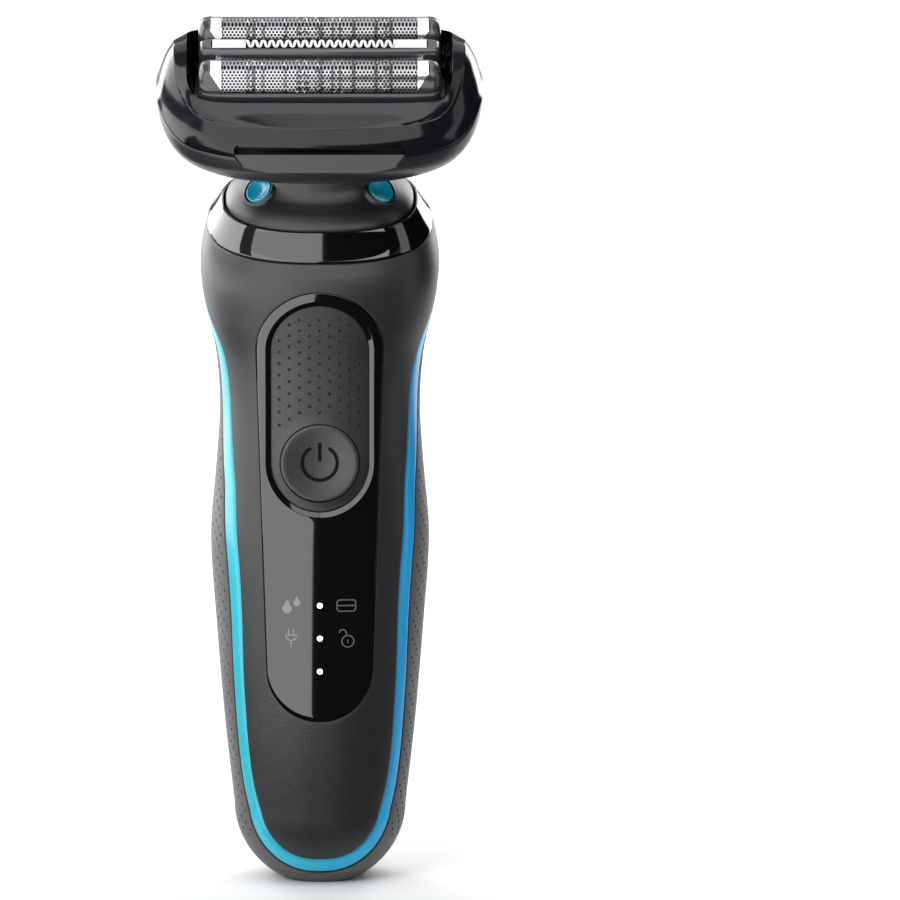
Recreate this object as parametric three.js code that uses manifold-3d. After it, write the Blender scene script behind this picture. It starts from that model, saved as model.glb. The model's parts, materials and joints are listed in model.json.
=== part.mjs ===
// Cordless foil shaver with a floating three-part cutting head.
// Millimetres, +Z up. The origin is the centre of the flat foot, the foils look up and the
// thumb side faces -Y. The handle stands upright and its neck and head lean forward.
import * as THREE from 'three';
import { mergeVertices } from 'three/addons/utils/BufferGeometryUtils.js';
import Module from 'manifold-3d';

const wasm = await Module();
wasm.setup();

// ---- driving dimensions ----------------------------------------------------------------
const GAP = 0.3; // play between neighbouring pieces
const BODY_POINTS = 36; // points round a section of the handle's outer face
const HEAD_POINTS = 44; // points round a section of the head's outer face
const INNER_POINTS = 20; // points round the plainer inner faces
const BODY_POWER = 2.5; // superellipse power of the handle sections
const HEAD_POWER = 2.6;

// Rounded foot: the section grows from the flat foot to the full section at FOOT_HEIGHT.
const FOOT_HEIGHT = 14;
const FOOT_FLAT = { width: 6, depth: 7 };
const FOOT_FULL = { width: 16, depth: 13.2 };
const FOOT_POWER = 0.7;
const FOOT_STEPS = [0, 0.4, 1.4, 3.2, 5.6, 9];
const INNER_FOOT_STEPS = [1.4, 5.6];

// Handle above the foot: half sizes of the sections along its spine.
const BODY_STATIONS = [
  { y: 0, z: 14, lean: 0, width: 16, depth: 13.2 },
  { y: 0.5, z: 30, lean: 0, width: 17.8, depth: 14.8 },
  { y: 1, z: 49, lean: 0, width: 19.4, depth: 16.3 },
  { y: 1.1, z: 65, lean: 0, width: 20.4, depth: 16.8 },
  { y: 0.9, z: 78, lean: 0, width: 19.4, depth: 16.3 },
  { y: 0.5, z: 90, lean: 1, width: 18.7, depth: 15.9 },
  { y: 0, z: 101, lean: 4, width: 19.5, depth: 16.3 },
  { y: -0.6, z: 110, lean: 8.5, width: 21.5, depth: 17.7 },
  { y: -1.1, z: 117.2, lean: 12.5, width: 22.3, depth: 18.9 },
  { y: -1.4, z: 121.6, lean: 14.5, width: 21.8, depth: 18.9 },
  { y: -1.5, z: 124.6, lean: 15.5, width: 21, depth: 18.2 },
];
const BODY_TOP = 124.6;
const BODY_HEIGHTS = [14, 22, 32, 43, 54, 65, 73, 81, 90, 98, 105, 111, 117.2, 121.6];
const INNER_HEIGHTS = [14, 30, 49, 65, 78, 90, 101, 110, 117.2];

// Side view of the line that the accent stripe follows, and the stripe's half width along Y.
const PARTING = [
  { z: -6, y: -10.4, half: 0.55 },
  { z: 9, y: -10.2, half: 0.6 },
  { z: 20, y: -9.2, half: 0.75 },
  { z: 36, y: -9.6, half: 0.8 },
  { z: 60, y: -10.6, half: 0.85 },
  { z: 74, y: -9.3, half: 1.1 },
  { z: 88, y: -6.8, half: 1.6 },
  { z: 100, y: -6.7, half: 1.5 },
  { z: 107, y: -5.6, half: 1.4 },
  { z: 112, y: -2.6, half: 1.4 },
  { z: 118, y: 2.6, half: 1.3 },
  { z: 134, y: 13, half: 1.3 },
];
const STRIPE_DEPTH = 2.4;

const FRONT_WALL = 2.6;
const GRIP_WALL = 1.6;
const REAR_WALL = 1.6;

// Control panel on the front, its thumb rest and what sits in them.
const PANEL = { top: 102.6, topRadius: 11.9, bottom: 41.85, bottomRadius: 9.9, wall: 1.4 };
const PAD = { top: 102.6, bottom: 81.2, radius: 9.25, flange: 1.35, sink: 0.8 };
const BUTTON = { z: 81.2, radius: 7.3, face: -14.9, dish: 1, back: -12.4, stem: 2, stemEnd: -11 };
const LIGHT_HEIGHTS = [41.65, 48, 54.3];
const LIGHT_RADIUS = 0.6;

// Neck: a glossy cone-shaped collar and the dome that comes out of it.
const NECK = { y: -1.5, z: 124.6, lean: 15.5 };
const COLLAR = [
  { t: 0.3, width: 21, depth: 18.2 },
  { t: 4.2, width: 18.75, depth: 15.1 },
  { t: 4.8, width: 18.3, depth: 14.5 },
];
const COLLAR_BORE = { width: 17.9, depth: 14.1 };
const DOME = [
  { y: -1.7, z: 125.3, lean: 15.5, width: 17.6, depth: 13.8 },
  { y: -2.62, z: 128.65, lean: 15.5, width: 17.6, depth: 13.8 },
  { y: -3, z: 130, lean: 15.5, width: 17.3, depth: 13.4 },
  { y: -3.37, z: 131.35, lean: 16, width: 16.2, depth: 12.3 },
  { y: -3.69, z: 132.5, lean: 16.5, width: 14.6, depth: 11 },
  { y: -3.96, z: 133.5, lean: 17, width: 13, depth: 10.1 },
  { y: -4.42, z: 135.2, lean: 19, width: 11.6, depth: 9.4 },
  { y: -4.81, z: 137.42, lean: 21, width: 11.2, depth: 9.3 },
];
const DOME_WALL = 2.2;

// Head frame: x across, y along the foils' pitch to the back, z out through the foils.
const HEAD = { y: -10.4, z: 152, lean: 21 };
const HEAD_BOTTOM = -15.3;
const RELEASE = { x: 11.2, y: -9.7, z: 132.1, radius: 2.7 };
const RELEASE_NORMAL = [0.527, -0.597, 0.605];
const BASE_SECTIONS = [
  { t: HEAD_BOTTOM, width: 11.4, front: 9.6, rear: 9.6 },
  { t: -14.9, width: 13.6, front: 10.4, rear: 10.4 },
  { t: -14.3, width: 18, front: 11.5, rear: 11.4 },
  { t: -13, width: 23, front: 13.3, rear: 12.9 },
  { t: -11, width: 26.2, front: 15.5, rear: 14.4 },
  { t: -8, width: 28.5, front: 17.7, rear: 16.2 },
  { t: -5, width: 29.7, front: 19.1, rear: 17.2 },
  { t: -3, width: 30.15, front: 19.7, rear: 17.6 },
  { t: 0, width: 30.5, front: 20.2, rear: 18 },
];
const BASE_WALL = 1.7;
const BASE_HOLE = 6.4; // radius of the hole that lets the drive pin and its boot in
const SEAM_DIP = 4.15; // how far the seam drops at the front of the head
const EAR = { centre: -1, reach: 12.8, rise: 6.8 };
const RINSE = { half: 15, height: 1.8 };

// Cutting elements, spaced along the head's pitch direction.
const ELEMENT_PITCH = 7.7;
const FOIL = { axis: 6, radius: 3.8, wall: 0.3, half: 20.25, leg: 1.2 };
const FOIL_FRAME = { half: 22.6, depth: 4.6, inside: 4.1, bottom: 2.8, top: 5.6, cap: 20.6 };
const TRIMMER = { half: 22.5, depth: 2.7, bottom: 3, top: 9.3, edge: 0.9, cavity: 20.6, cavityDepth: 1.9 };
const COMB = { half: 20, depth: 1.15, teeth: 18, pitch: 1.55, z: 9 };
const CUTTER = { radius: 3.1, half: 18.6, bottom: 3.2, block: 6, blockDepth: 2.3, socket: 3, socketTop: 7.2 };
const POST = { half: 1.15, top: 4.6 };
const CARRIER = { half: 23.4, depth: 12.2, bottom: -3.8, top: -2.4 };
const SPRING = { x: 21.4, radius: 0.95, wire: 0.22, turns: 4, bottom: -1.9, top: 2.5 };

// Drive, power and electronics inside the handle.
const MOTOR = { y: 3.3, radius: 9.3, bottom: 69, top: 97, boss: 3, bossTop: 98.5 };
const BRACKET = { half: 10.4, front: -6.2, back: 9.4, bottom: 97.4, top: 98.4 };
const LEAF = { thick: 0.3, half: 3.5, bottom: 98.8, top: 108.5 };
const CRANK = { bottom: 98.8, disc: 101.6, discTop: 103.4, radius: 4, throw: 1.2, pin: 1, pinTop: 107.6 };
const BRIDGE = {
  width: 8, depth: 5, bottom: 104.2, top: 110,
  slotX: 3.7, slotY: 2.6, slotTop: 108.2,
  neckX: 3.4, neckFront: 3.6, neckBack: 3.2, neckTop: 116.4,
};
const DRIVE_PIN = { radius: 1.5, bottom: -39, top: -6.5 };
const BOOT = { radius: 4.9, bore: 3.1, bottom: -18.4, top: -14.4 };
const BATTERY = { y: 1.2, radius: 7.1, bottom: 12.9, top: 63.9 };
const BOARD = { front: -9.8, back: -8.2, half: 9, bottom: 37, top: 92 };
const CHASSIS = { front: -7.9, back: -6.6, half: 8.8, bottom: 11, top: 98.4 };
const SOCKET = { y: 3.9, halfX: 3.5, halfY: 2.1, depth: 9.5, wall: 0.6 };
const SOCKET_PIN = { x: 2, radius: 0.55, bore: 0.9, bottom: 6.6 };

// ---- looks -----------------------------------------------------------------------------
const LOOKS = {
  shell: { color: 0x2b2c2e, roughness: 0.55, metalness: 0 },
  grip: { color: 0x3a3b3d, roughness: 0.8, metalness: 0 },
  accent: { color: 0x0a90c8, roughness: 0.4, metalness: 0 },
  gloss: { color: 0x0b0b0c, roughness: 0.08, metalness: 0 },
  pad: { color: 0x3a3c3f, roughness: 0.5, metalness: 0 },
  satin: { color: 0x1d1e20, roughness: 0.4, metalness: 0 },
  frame: { color: 0x2a2c2f, roughness: 0.35, metalness: 0 },
  steel: { color: 0xb8babd, roughness: 0.3, metalness: 1 },
  light: { color: 0xf4f6f8, roughness: 0.3, metalness: 0 },
  rubber: { color: 0x1a1a1b, roughness: 0.9, metalness: 0 },
  board: { color: 0x14502e, roughness: 0.5, metalness: 0 },
  brass: { color: 0xb49a4c, roughness: 0.35, metalness: 1 },
  cell: { color: 0x2f5f8a, roughness: 0.45, metalness: 0 },
  white: { color: 0xd9dadb, roughness: 0.5, metalness: 0 },
};

// ---- solids ----------------------------------------------------------------------------
const radians = THREE.MathUtils.degToRad;

function toSolid(geometry) {
  const bare = geometry.clone();
  bare.deleteAttribute('normal');
  bare.deleteAttribute('uv');
  const merged = mergeVertices(bare, 1e-5);
  const vertProperties = Float32Array.from(merged.getAttribute('position').array);
  const triVerts = Uint32Array.from(merged.getIndex().array);
  return new wasm.Manifold(new wasm.Mesh({ numProp: 3, vertProperties, triVerts }));
}

function toGeometry(solid) {
  const mesh = solid.getMesh();
  const geometry = new THREE.BufferGeometry();
  geometry.setAttribute('position', new THREE.BufferAttribute(Float32Array.from(mesh.vertProperties), 3));
  geometry.setIndex(new THREE.BufferAttribute(Uint32Array.from(mesh.triVerts), 1));
  geometry.computeVertexNormals();
  return geometry;
}

function placed(geometry, x, y, z) {
  return toSolid(geometry.clone().translate(x, y, z));
}

// A box between two corners.
function block(low, high) {
  const size = high.map((value, i) => value - low[i]);
  const middle = high.map((value, i) => (value + low[i]) / 2);
  return placed(new THREE.BoxGeometry(...size), ...middle);
}

// A round bar along Z from bottom to top.
function bar(radius, x, y, bottom, top, sides = 20) {
  const geometry = new THREE.CylinderGeometry(radius, radius, top - bottom, sides).rotateX(Math.PI / 2);
  return placed(geometry, x, y, (top + bottom) / 2);
}

// A round bar along Y from front to back.
function crossBar(radius, x, z, front, back, sides = 20) {
  return placed(new THREE.CylinderGeometry(radius, radius, back - front, sides), x, (front + back) / 2, z);
}

// A side view outline, drawn in Y and Z, made half as wide as the given width to each side.
function acrossX(shape, half, curveSegments = 12) {
  const options = { depth: 2 * half, bevelEnabled: false, curveSegments };
  const geometry = new THREE.ExtrudeGeometry(shape, options).translate(0, 0, -half);
  return toSolid(geometry.rotateY(Math.PI / 2).rotateX(Math.PI / 2));
}

// A closed surface through rings that hold the same number of points, listed bottom to top.
function loft(rings) {
  const count = rings[0].length;
  const points = rings.flat();
  const middle = (ring) => ring.reduce((sum, p) => sum.add(p), new THREE.Vector3()).divideScalar(count);
  const faces = [];
  for (let r = 0; r + 1 < rings.length; r += 1) {
    for (let i = 0; i < count; i += 1) {
      const a = r * count + i;
      const b = r * count + ((i + 1) % count);
      faces.push(a, b, b + count, a, b + count, a + count);
    }
  }
  const last = (rings.length - 1) * count;
  const bottom = points.length;
  points.push(middle(rings[0]), middle(rings[rings.length - 1]));
  for (let i = 0; i < count; i += 1) {
    const next = (i + 1) % count;
    faces.push(bottom, next, i, bottom + 1, last + i, last + next);
  }
  const geometry = new THREE.BufferGeometry().setFromPoints(points);
  geometry.setIndex(faces);
  return toSolid(geometry);
}

// A superellipse ring: half sizes width and depth, in a plane leaning about X.
function superRing({ y = 0, z = 0, lean = 0, width, depth }, power, count) {
  const ring = [];
  const tilt = radians(lean);
  for (let i = 0; i < count; i += 1) {
    const angle = (2 * Math.PI * i) / count;
    const across = Math.sign(Math.cos(angle)) * Math.abs(Math.cos(angle)) ** (2 / power) * width;
    const along = Math.sign(Math.sin(angle)) * Math.abs(Math.sin(angle)) ** (2 / power) * depth;
    ring.push(new THREE.Vector3(across, y + along * Math.cos(tilt), z + along * Math.sin(tilt)));
  }
  return ring;
}

// Smooth value of one field along a list of stations, by their z.
function along(stations, z, field) {
  const last = stations.length - 1;
  let i = 0;
  while (i < last - 1 && z > stations[i + 1].z) i += 1;
  const slope = (k) => {
    const before = stations[Math.max(k - 1, 0)];
    const after = stations[Math.min(k + 1, last)];
    return (after[field] - before[field]) / (after.z - before.z);
  };
  const span = stations[i + 1].z - stations[i].z;
  const u = (z - stations[i].z) / span;
  const start = stations[i][field] * (1 + 2 * u) * (1 - u) ** 2 + slope(i) * span * u * (1 - u) ** 2;
  const end = stations[i + 1][field] * u * u * (3 - 2 * u) + slope(i + 1) * span * u * u * (u - 1);
  return start + end;
}

// ---- handle ----------------------------------------------------------------------------
function bodySection(z) {
  if (z < FOOT_HEIGHT) {
    const grow = (1 - (1 - Math.max(z, 0) / FOOT_HEIGHT) ** 2) ** FOOT_POWER;
    const width = FOOT_FLAT.width + (FOOT_FULL.width - FOOT_FLAT.width) * grow;
    const depth = FOOT_FLAT.depth + (FOOT_FULL.depth - FOOT_FLAT.depth) * grow;
    return { y: 0, z, lean: 0, width, depth };
  }
  const field = (name) => along(BODY_STATIONS, z, name);
  return { y: field('y'), z, lean: field('lean'), width: field('width'), depth: field('depth') };
}

// The handle's outer form, drawn in by inset, from the foot to the collar. Faces inside the
// handle have fewer points, the same ones on both sides of each joint line.
function bodyForm(inset, top = BODY_TOP) {
  const fine = inset === 0;
  const steps = fine ? [...FOOT_STEPS, ...BODY_HEIGHTS] : [...INNER_FOOT_STEPS, ...INNER_HEIGHTS];
  const heights = steps.filter((z) => z > inset + 0.2 && z < top - 0.4);
  const rings = [inset, ...heights, top].map((z) => {
    const section = bodySection(z);
    section.width -= inset;
    section.depth -= inset;
    return superRing(section, BODY_POWER, fine ? BODY_POINTS : INNER_POINTS);
  });
  return loft(rings);
}

function bodyShell(outside, inside) {
  return bodyForm(outside).subtract(bodyForm(inside, BODY_TOP + 3));
}

// Everything on one side of the parting line: side -1 is the front, +1 the back.
function partingSide(side, clearance) {
  const far = 60 * side;
  const shape = new THREE.Shape();
  shape.moveTo(far, -6);
  for (let z = -6; z <= 134; z += 5) {
    const edge = along(PARTING, z, 'y') + side * (along(PARTING, z, 'half') + clearance);
    shape.lineTo(edge, z);
  }
  shape.lineTo(far, 134);
  shape.closePath();
  return acrossX(shape, 40);
}

// A tapered stadium seen from the front, cut straight through the front of the handle.
function frontPrism(top, topRadius, bottom, bottomRadius, back = -6) {
  const shape = new THREE.Shape();
  shape.absarc(0, top, topRadius, 0, Math.PI, false);
  shape.absarc(0, bottom, bottomRadius, Math.PI, 2 * Math.PI, false);
  shape.closePath();
  const geometry = new THREE.ExtrudeGeometry(shape, { depth: 40, bevelEnabled: false, curveSegments: 12 });
  geometry.rotateX(Math.PI / 2).translate(0, back, 0);
  return toSolid(geometry);
}

function panelPrism(grow) {
  return frontPrism(PANEL.top, PANEL.topRadius + grow, PANEL.bottom, PANEL.bottomRadius + grow);
}

function padPrism(grow) {
  return frontPrism(PAD.top, PAD.radius + grow, PAD.bottom, PAD.radius + grow);
}

function lightHoles(radius) {
  const holes = LIGHT_HEIGHTS.map((z) => crossBar(radius, 0, z, -30, -6, 12));
  return holes.reduce((sum, hole) => sum.add(hole));
}

function frontShell() {
  const pocket = bodyShell(-2, PANEL.wall + GAP).intersect(panelPrism(GAP));
  return bodyShell(0, FRONT_WALL)
    .intersect(partingSide(-1, GAP))
    .subtract(pocket)
    .subtract(padPrism(PAD.flange + GAP))
    .subtract(lightHoles(LIGHT_RADIUS + GAP));
}

function accentStripe() {
  return bodyShell(0, STRIPE_DEPTH)
    .subtract(partingSide(-1, 0))
    .subtract(partingSide(1, 0));
}

function socketHole(grow) {
  const { y, halfX, halfY, wall, depth } = SOCKET;
  const reach = wall + grow;
  return block([-halfX - reach, y - halfY - reach, -2], [halfX + reach, y + halfY + reach, depth + wall + grow]);
}

function rubberGrip() {
  return bodyShell(0, GRIP_WALL)
    .intersect(partingSide(1, GAP))
    .subtract(socketHole(GAP));
}

function rearShell() {
  return bodyShell(GRIP_WALL + GAP, GRIP_WALL + GAP + REAR_WALL)
    .intersect(partingSide(1, GAP))
    .subtract(socketHole(GAP));
}

function frontPanel() {
  return bodyShell(0, PANEL.wall)
    .intersect(panelPrism(0))
    .subtract(padPrism(0))
    .subtract(lightHoles(LIGHT_RADIUS + GAP));
}

function thumbPad() {
  const face = bodyShell(PAD.sink, FRONT_WALL - 0.2).intersect(padPrism(-GAP));
  const flange = bodyShell(PANEL.wall + GAP, FRONT_WALL - 0.2).intersect(padPrism(PAD.flange));
  const hole = crossBar(BUTTON.radius + GAP, 0, BUTTON.z, -30, -6, 32);
  return face.add(flange).subtract(hole);
}

// A turned piece whose axis is Y: profile points are [radius, y].
function turnedAlongY(profile, z, sides) {
  const outline = profile.map(([radius, y]) => new THREE.Vector2(radius, y));
  return placed(new THREE.LatheGeometry(outline, sides), 0, 0, z);
}

function powerButton() {
  const { radius, face, dish, back, stem, stemEnd, z } = BUTTON;
  const profile = [
    [0, face + dish],
    [radius - 2.2, face + dish * 0.7],
    [radius - 0.4, face],
    [radius, face + 0.3],
    [radius, back],
    [stem, back],
    [stem, stemEnd],
    [0, stemEnd],
  ];
  return turnedAlongY(profile, z, 32);
}

function lightGuide() {
  const [low, , high] = LIGHT_HEIGHTS;
  const front = -12;
  const pins = LIGHT_HEIGHTS.map((z) => {
    const section = bodySection(z);
    return crossBar(LIGHT_RADIUS, 0, z, section.y - section.depth + 0.05, front + 0.5, 12);
  });
  return pins.reduce((sum, pin) => sum.add(pin), block([-1.4, front, low - 1.4], [1.4, front + 1, high + 1.4]));
}

// ---- power, board and motor ------------------------------------------------------------
function chargingSocket() {
  const { y, halfX, halfY, depth, wall } = SOCKET;
  const { x, bore } = SOCKET_PIN;
  const outside = block([-halfX - wall, y - halfY - wall, 0.5], [halfX + wall, y + halfY + wall, depth + wall]);
  return outside
    .subtract(block([-halfX, y - halfY, -2], [halfX, y + halfY, depth]))
    .subtract(bar(bore, -x, y, depth - 1, depth + wall + 1, 12))
    .subtract(bar(bore, x, y, depth - 1, depth + wall + 1, 12));
}

function socketPin(side) {
  const { x, radius, bottom } = SOCKET_PIN;
  return bar(radius, side * x, SOCKET.y, bottom, SOCKET.depth + SOCKET.wall + 0.1, 12);
}

function battery() {
  const { y, radius, bottom, top } = BATTERY;
  return bar(radius, 0, y, bottom, top - 1.4, 28).add(bar(2.8, 0, y, top - 1.5, top, 16));
}

// Thin contact strip lying on the chassis shelf at one end of the cell.
function batteryContact(bottom) {
  return block([-3, BATTERY.y - 4, bottom], [3, BATTERY.y + 4, bottom + 0.3]);
}

function chassis() {
  const { front, back, half, bottom, top } = CHASSIS;
  const shelf = (z, width, depth) => block([-width, back - 0.2, z], [width, depth, z + 1.4]);
  return block([-6.5, front, bottom], [6.5, back, bottom + 9])
    .add(block([-half, front, bottom + 7], [half, back, top]))
    .add(shelf(bottom, 6.5, 6))
    .add(shelf(BATTERY.top + 0.6, 9, 9));
}

function circuitBoard() {
  return block([-BOARD.half, BOARD.front, BOARD.bottom], [BOARD.half, BOARD.back, BOARD.top]);
}

function powerSwitch() {
  const back = BOARD.front - 0.1;
  return block([-3, back - 0.35, BUTTON.z - 3], [3, back, BUTTON.z + 3])
    .add(crossBar(1.6, 0, BUTTON.z, back - 0.4, back - 0.3, 16));
}

function lightChip(z) {
  return block([-0.8, BOARD.front - 0.9, z - 0.5], [0.8, BOARD.front - 0.1, z + 0.5]);
}

function motor() {
  const { y, radius, bottom, top, boss, bossTop } = MOTOR;
  return bar(radius, 0, y, bottom, top, 32).add(bar(boss, 0, y, top - 0.5, bossTop, 20));
}

function motorBracket() {
  const { half, front, back, bottom, top } = BRACKET;
  return block([-half, front, bottom], [half, back, top])
    .subtract(bar(MOTOR.boss + GAP, 0, MOTOR.y, bottom - 1, top + 1, 20));
}

function motorShaft() {
  const { bottom, disc, discTop, radius, throw: offset, pin, pinTop } = CRANK;
  return bar(1, 0, MOTOR.y, bottom, disc + 0.2, 16)
    .add(bar(radius, 0, MOTOR.y, disc, discTop, 24))
    .add(bar(pin, 0, MOTOR.y + offset, discTop - 0.2, pinTop, 16));
}

function leafSpring(side) {
  const { thick, half, bottom, top } = LEAF;
  const x = side * (BRIDGE.width + GAP + thick);
  return block([x - thick / 2, MOTOR.y - half, bottom], [x + thick / 2, MOTOR.y + half, top]);
}

function driveBridge() {
  const { width, depth, bottom, top, slotX, slotY, slotTop, neckX, neckFront, neckBack, neckTop } = BRIDGE;
  const { y } = MOTOR;
  return block([-width, y - depth, bottom], [width, y + depth, top])
    .add(block([-neckX, y - neckFront, top - 0.5], [neckX, y + neckBack, neckTop]))
    .subtract(block([-slotX, y - slotY, bottom - 1], [slotX, y + slotY, slotTop]))
    .subtract(headSolid(bar(DRIVE_PIN.radius + GAP, 0, 0, DRIVE_PIN.bottom - GAP, 0, 20)));
}

// Moves a solid from the head's frame into the handle's frame.
function headSolid(solid) {
  const cos = Math.cos(radians(HEAD.lean));
  const sin = Math.sin(radians(HEAD.lean));
  return solid.transform([1, 0, 0, 0, 0, cos, sin, 0, 0, -sin, cos, 0, 0, HEAD.y, HEAD.z, 1]);
}

// ---- neck ------------------------------------------------------------------------------
function collarRing() {
  const outer = COLLAR.map(({ t, width, depth }) => superRing({ z: t, width, depth }, BODY_POWER, BODY_POINTS));
  const bore = [-2, 7].map((z) => superRing({ z, ...COLLAR_BORE }, BODY_POWER, BODY_POINTS));
  return loft(outer).subtract(loft(bore));
}

function domeForm(inset) {
  const sections = DOME.map((section, i) => ({
    ...section,
    width: section.width - inset,
    depth: section.depth - inset,
    z: section.z - (inset && i === 0 ? 3 : 0) - (i === DOME.length - 1 ? inset : 0),
  }));
  const points = inset ? INNER_POINTS : BODY_POINTS;
  return loft(sections.map((section) => superRing(section, BODY_POWER, points)));
}

// A round bar that runs through the release button's place, along its press direction.
function releaseBar(side, grow, inner, outer) {
  const normal = new THREE.Vector3(side * RELEASE_NORMAL[0], RELEASE_NORMAL[1], RELEASE_NORMAL[2]).normalize();
  const radius = RELEASE.radius + grow;
  const geometry = new THREE.CylinderGeometry(radius, radius, outer - inner, 20);
  geometry.translate(0, (outer + inner) / 2, 0);
  geometry.applyQuaternion(new THREE.Quaternion().setFromUnitVectors(new THREE.Vector3(0, 1, 0), normal));
  return { solid: placed(geometry, side * RELEASE.x, RELEASE.y, RELEASE.z), normal };
}

function neckDome() {
  return domeForm(0)
    .subtract(domeForm(DOME_WALL))
    .subtract(headSolid(bar(BOOT.radius + GAP, 0, 0, -30, -10, 24)))
    .subtract(releaseBar(1, GAP, -8, 6).solid)
    .subtract(releaseBar(-1, GAP, -8, 6).solid);
}

function releaseButton(side) {
  const { solid, normal } = releaseBar(side, 0, -3.4, 0.5);
  const centre = new THREE.Vector3(side * RELEASE.x, RELEASE.y, RELEASE.z).addScaledVector(normal, 6.1);
  return solid.subtract(placed(new THREE.SphereGeometry(6, 20, 14), centre.x, centre.y, centre.z));
}

// ---- head ------------------------------------------------------------------------------
function smooth(value) {
  const u = Math.min(Math.max(value, 0), 1);
  return u * u * (3 - 2 * u);
}

// How far the seam between base and bezel lies below the head's plane.
function seamDrop(y) {
  return SEAM_DIP * smooth((-y - 5) / 11);
}

function earLift(y) {
  const u = (y - EAR.centre) / EAR.reach;
  return EAR.rise * Math.max(0, 1 - u * u) ** 1.25;
}

// A ring of the head at height t. dip is how much of the seam's drop it follows.
function headRing({ t, width, front, rear }, inset, dip, power = HEAD_POWER, points = HEAD_POINTS) {
  const section = { y: (rear - front) / 2, width: width - inset, depth: (front + rear) / 2 - inset };
  const ring = superRing(section, power, points);
  ring.forEach((point) => {
    point.z = t - dip * seamDrop(point.y);
  });
  return ring;
}

function headBase() {
  const dips = BASE_SECTIONS.map(({ t }) => smooth((t - HEAD_BOTTOM) / -HEAD_BOTTOM));
  const outer = loft(BASE_SECTIONS.map((section, i) => headRing(section, 0, dips[i])));
  const inside = (section, dip) => headRing(section, BASE_WALL, dip, HEAD_POWER, HEAD_POINTS / 2);
  const hollow = BASE_SECTIONS.slice(3).map((section, i) => inside(section, dips[i + 3]));
  const rim = inside({ ...BASE_SECTIONS[8], t: 4 }, 0);
  const scoop = new THREE.Shape();
  const { front, t } = BASE_SECTIONS[8];
  scoop.moveTo(-front - 4, t - SEAM_DIP - 3.05);
  scoop.lineTo(-front + 0.9, t - SEAM_DIP - 3.05);
  scoop.lineTo(-front + 1.6, t - SEAM_DIP + 4);
  scoop.lineTo(-front - 4, t - SEAM_DIP + 4);
  scoop.closePath();
  return outer
    .subtract(loft([...hollow, rim]))
    .subtract(bar(BASE_HOLE, 0, 0, -20, -8, 28))
    .subtract(acrossX(scoop, RINSE.half));
}

// The bezel is one section swept round the head: outer wall, bevel, inner wall and the lip
// that plugs into the base.
function headBezel() {
  const seam = BASE_SECTIONS[8];
  const lip = BASE_WALL + GAP + 0.4;
  const outline = [
    { section: { ...seam, t: GAP }, inset: 0, dip: 1, lift: 0 },
    { section: { ...seam, width: 29.6, front: 20, rear: 17.8, t: 1.2 }, inset: 0, dip: 0.5, lift: 0.35 },
    { section: { width: 27.2, front: 18.9, rear: 17, t: 2.2 }, inset: 0, dip: 0, lift: 1, power: 3.2 },
    { section: { width: 24.8, front: 14, rear: 13.6, t: 4.4 }, inset: 0, dip: 0, lift: 0.78, power: 12 },
    { section: { width: 23.5, front: 13.6, rear: 13.4, t: -1 }, inset: 0, dip: 0, lift: 0, power: 12 },
    { section: { ...seam, t: -1.6 }, inset: lip + 1.2, dip: 1, lift: 0 },
    { section: { ...seam, t: -1.6 }, inset: lip, dip: 1, lift: 0 },
    { section: { ...seam, t: GAP }, inset: lip, dip: 1, lift: 0 },
  ];
  const rings = outline.map(({ section, inset, dip, lift, power }) => {
    const ring = headRing(section, inset, dip, power);
    ring.forEach((point) => {
      point.z += lift * earLift(point.y);
    });
    return ring;
  });
  const points = rings.flat();
  const faces = [];
  for (let r = 0; r < rings.length; r += 1) {
    const next = (r + 1) % rings.length;
    for (let i = 0; i < HEAD_POINTS; i += 1) {
      const j = (i + 1) % HEAD_POINTS;
      const [a, b] = [r * HEAD_POINTS + i, r * HEAD_POINTS + j];
      const [c, d] = [next * HEAD_POINTS + j, next * HEAD_POINTS + i];
      faces.push(a, b, c, a, c, d);
    }
  }
  const geometry = new THREE.BufferGeometry().setFromPoints(points);
  geometry.setIndex(faces);
  const { half, height } = RINSE;
  const low = GAP - SEAM_DIP - 1;
  return toSolid(geometry).subtract(block([-half, -24, low], [half, -16.6, low + 1 + height]));
}

// A plate with three slots that carries the cutting elements and their springs.
function elementCarrier() {
  const { half, depth, bottom, top } = CARRIER;
  const rings = [bottom, top].map((z) => superRing({ z, width: half, depth }, 5, 32));
  return [-1, 0, 1].reduce(
    (plate, i) => plate.subtract(block([-5, i * ELEMENT_PITCH - 1.8, -6], [5, i * ELEMENT_PITCH + 1.8, 0])),
    loft(rings),
  );
}

function arch(radius, half, bottom, axis, sides = 16) {
  const shape = new THREE.Shape();
  shape.moveTo(radius, bottom);
  shape.absarc(0, axis, radius, 0, Math.PI, false);
  shape.lineTo(-radius, bottom);
  shape.closePath();
  return acrossX(shape, half, sides);
}

function foilSheet() {
  const { axis, radius, wall, half, leg } = FOIL;
  return arch(radius, half, axis - leg, axis).subtract(arch(radius - wall, half + 1, axis - leg - 1, axis));
}

// Rounded end cap of a foil element, from the foil's end outwards.
function endCap(side) {
  const { cap, half, bottom } = FOIL_FRAME;
  const steps = [
    { x: cap, radius: FOIL.radius },
    { x: (cap + half) / 2, radius: FOIL.radius - 0.4 },
    { x: half - 0.2, radius: FOIL.radius - 1.5 },
  ];
  const rings = steps.map(({ x, radius }) => {
    const ring = [new THREE.Vector3(x * side, radius, bottom)];
    for (let i = 0; i <= 10; i += 1) {
      const angle = (Math.PI * i) / 10;
      ring.push(new THREE.Vector3(x * side, radius * Math.cos(angle), FOIL.axis + radius * Math.sin(angle)));
    }
    ring.push(new THREE.Vector3(x * side, -radius, bottom));
    return side > 0 ? ring : ring.reverse();
  });
  return loft(rings);
}

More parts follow.
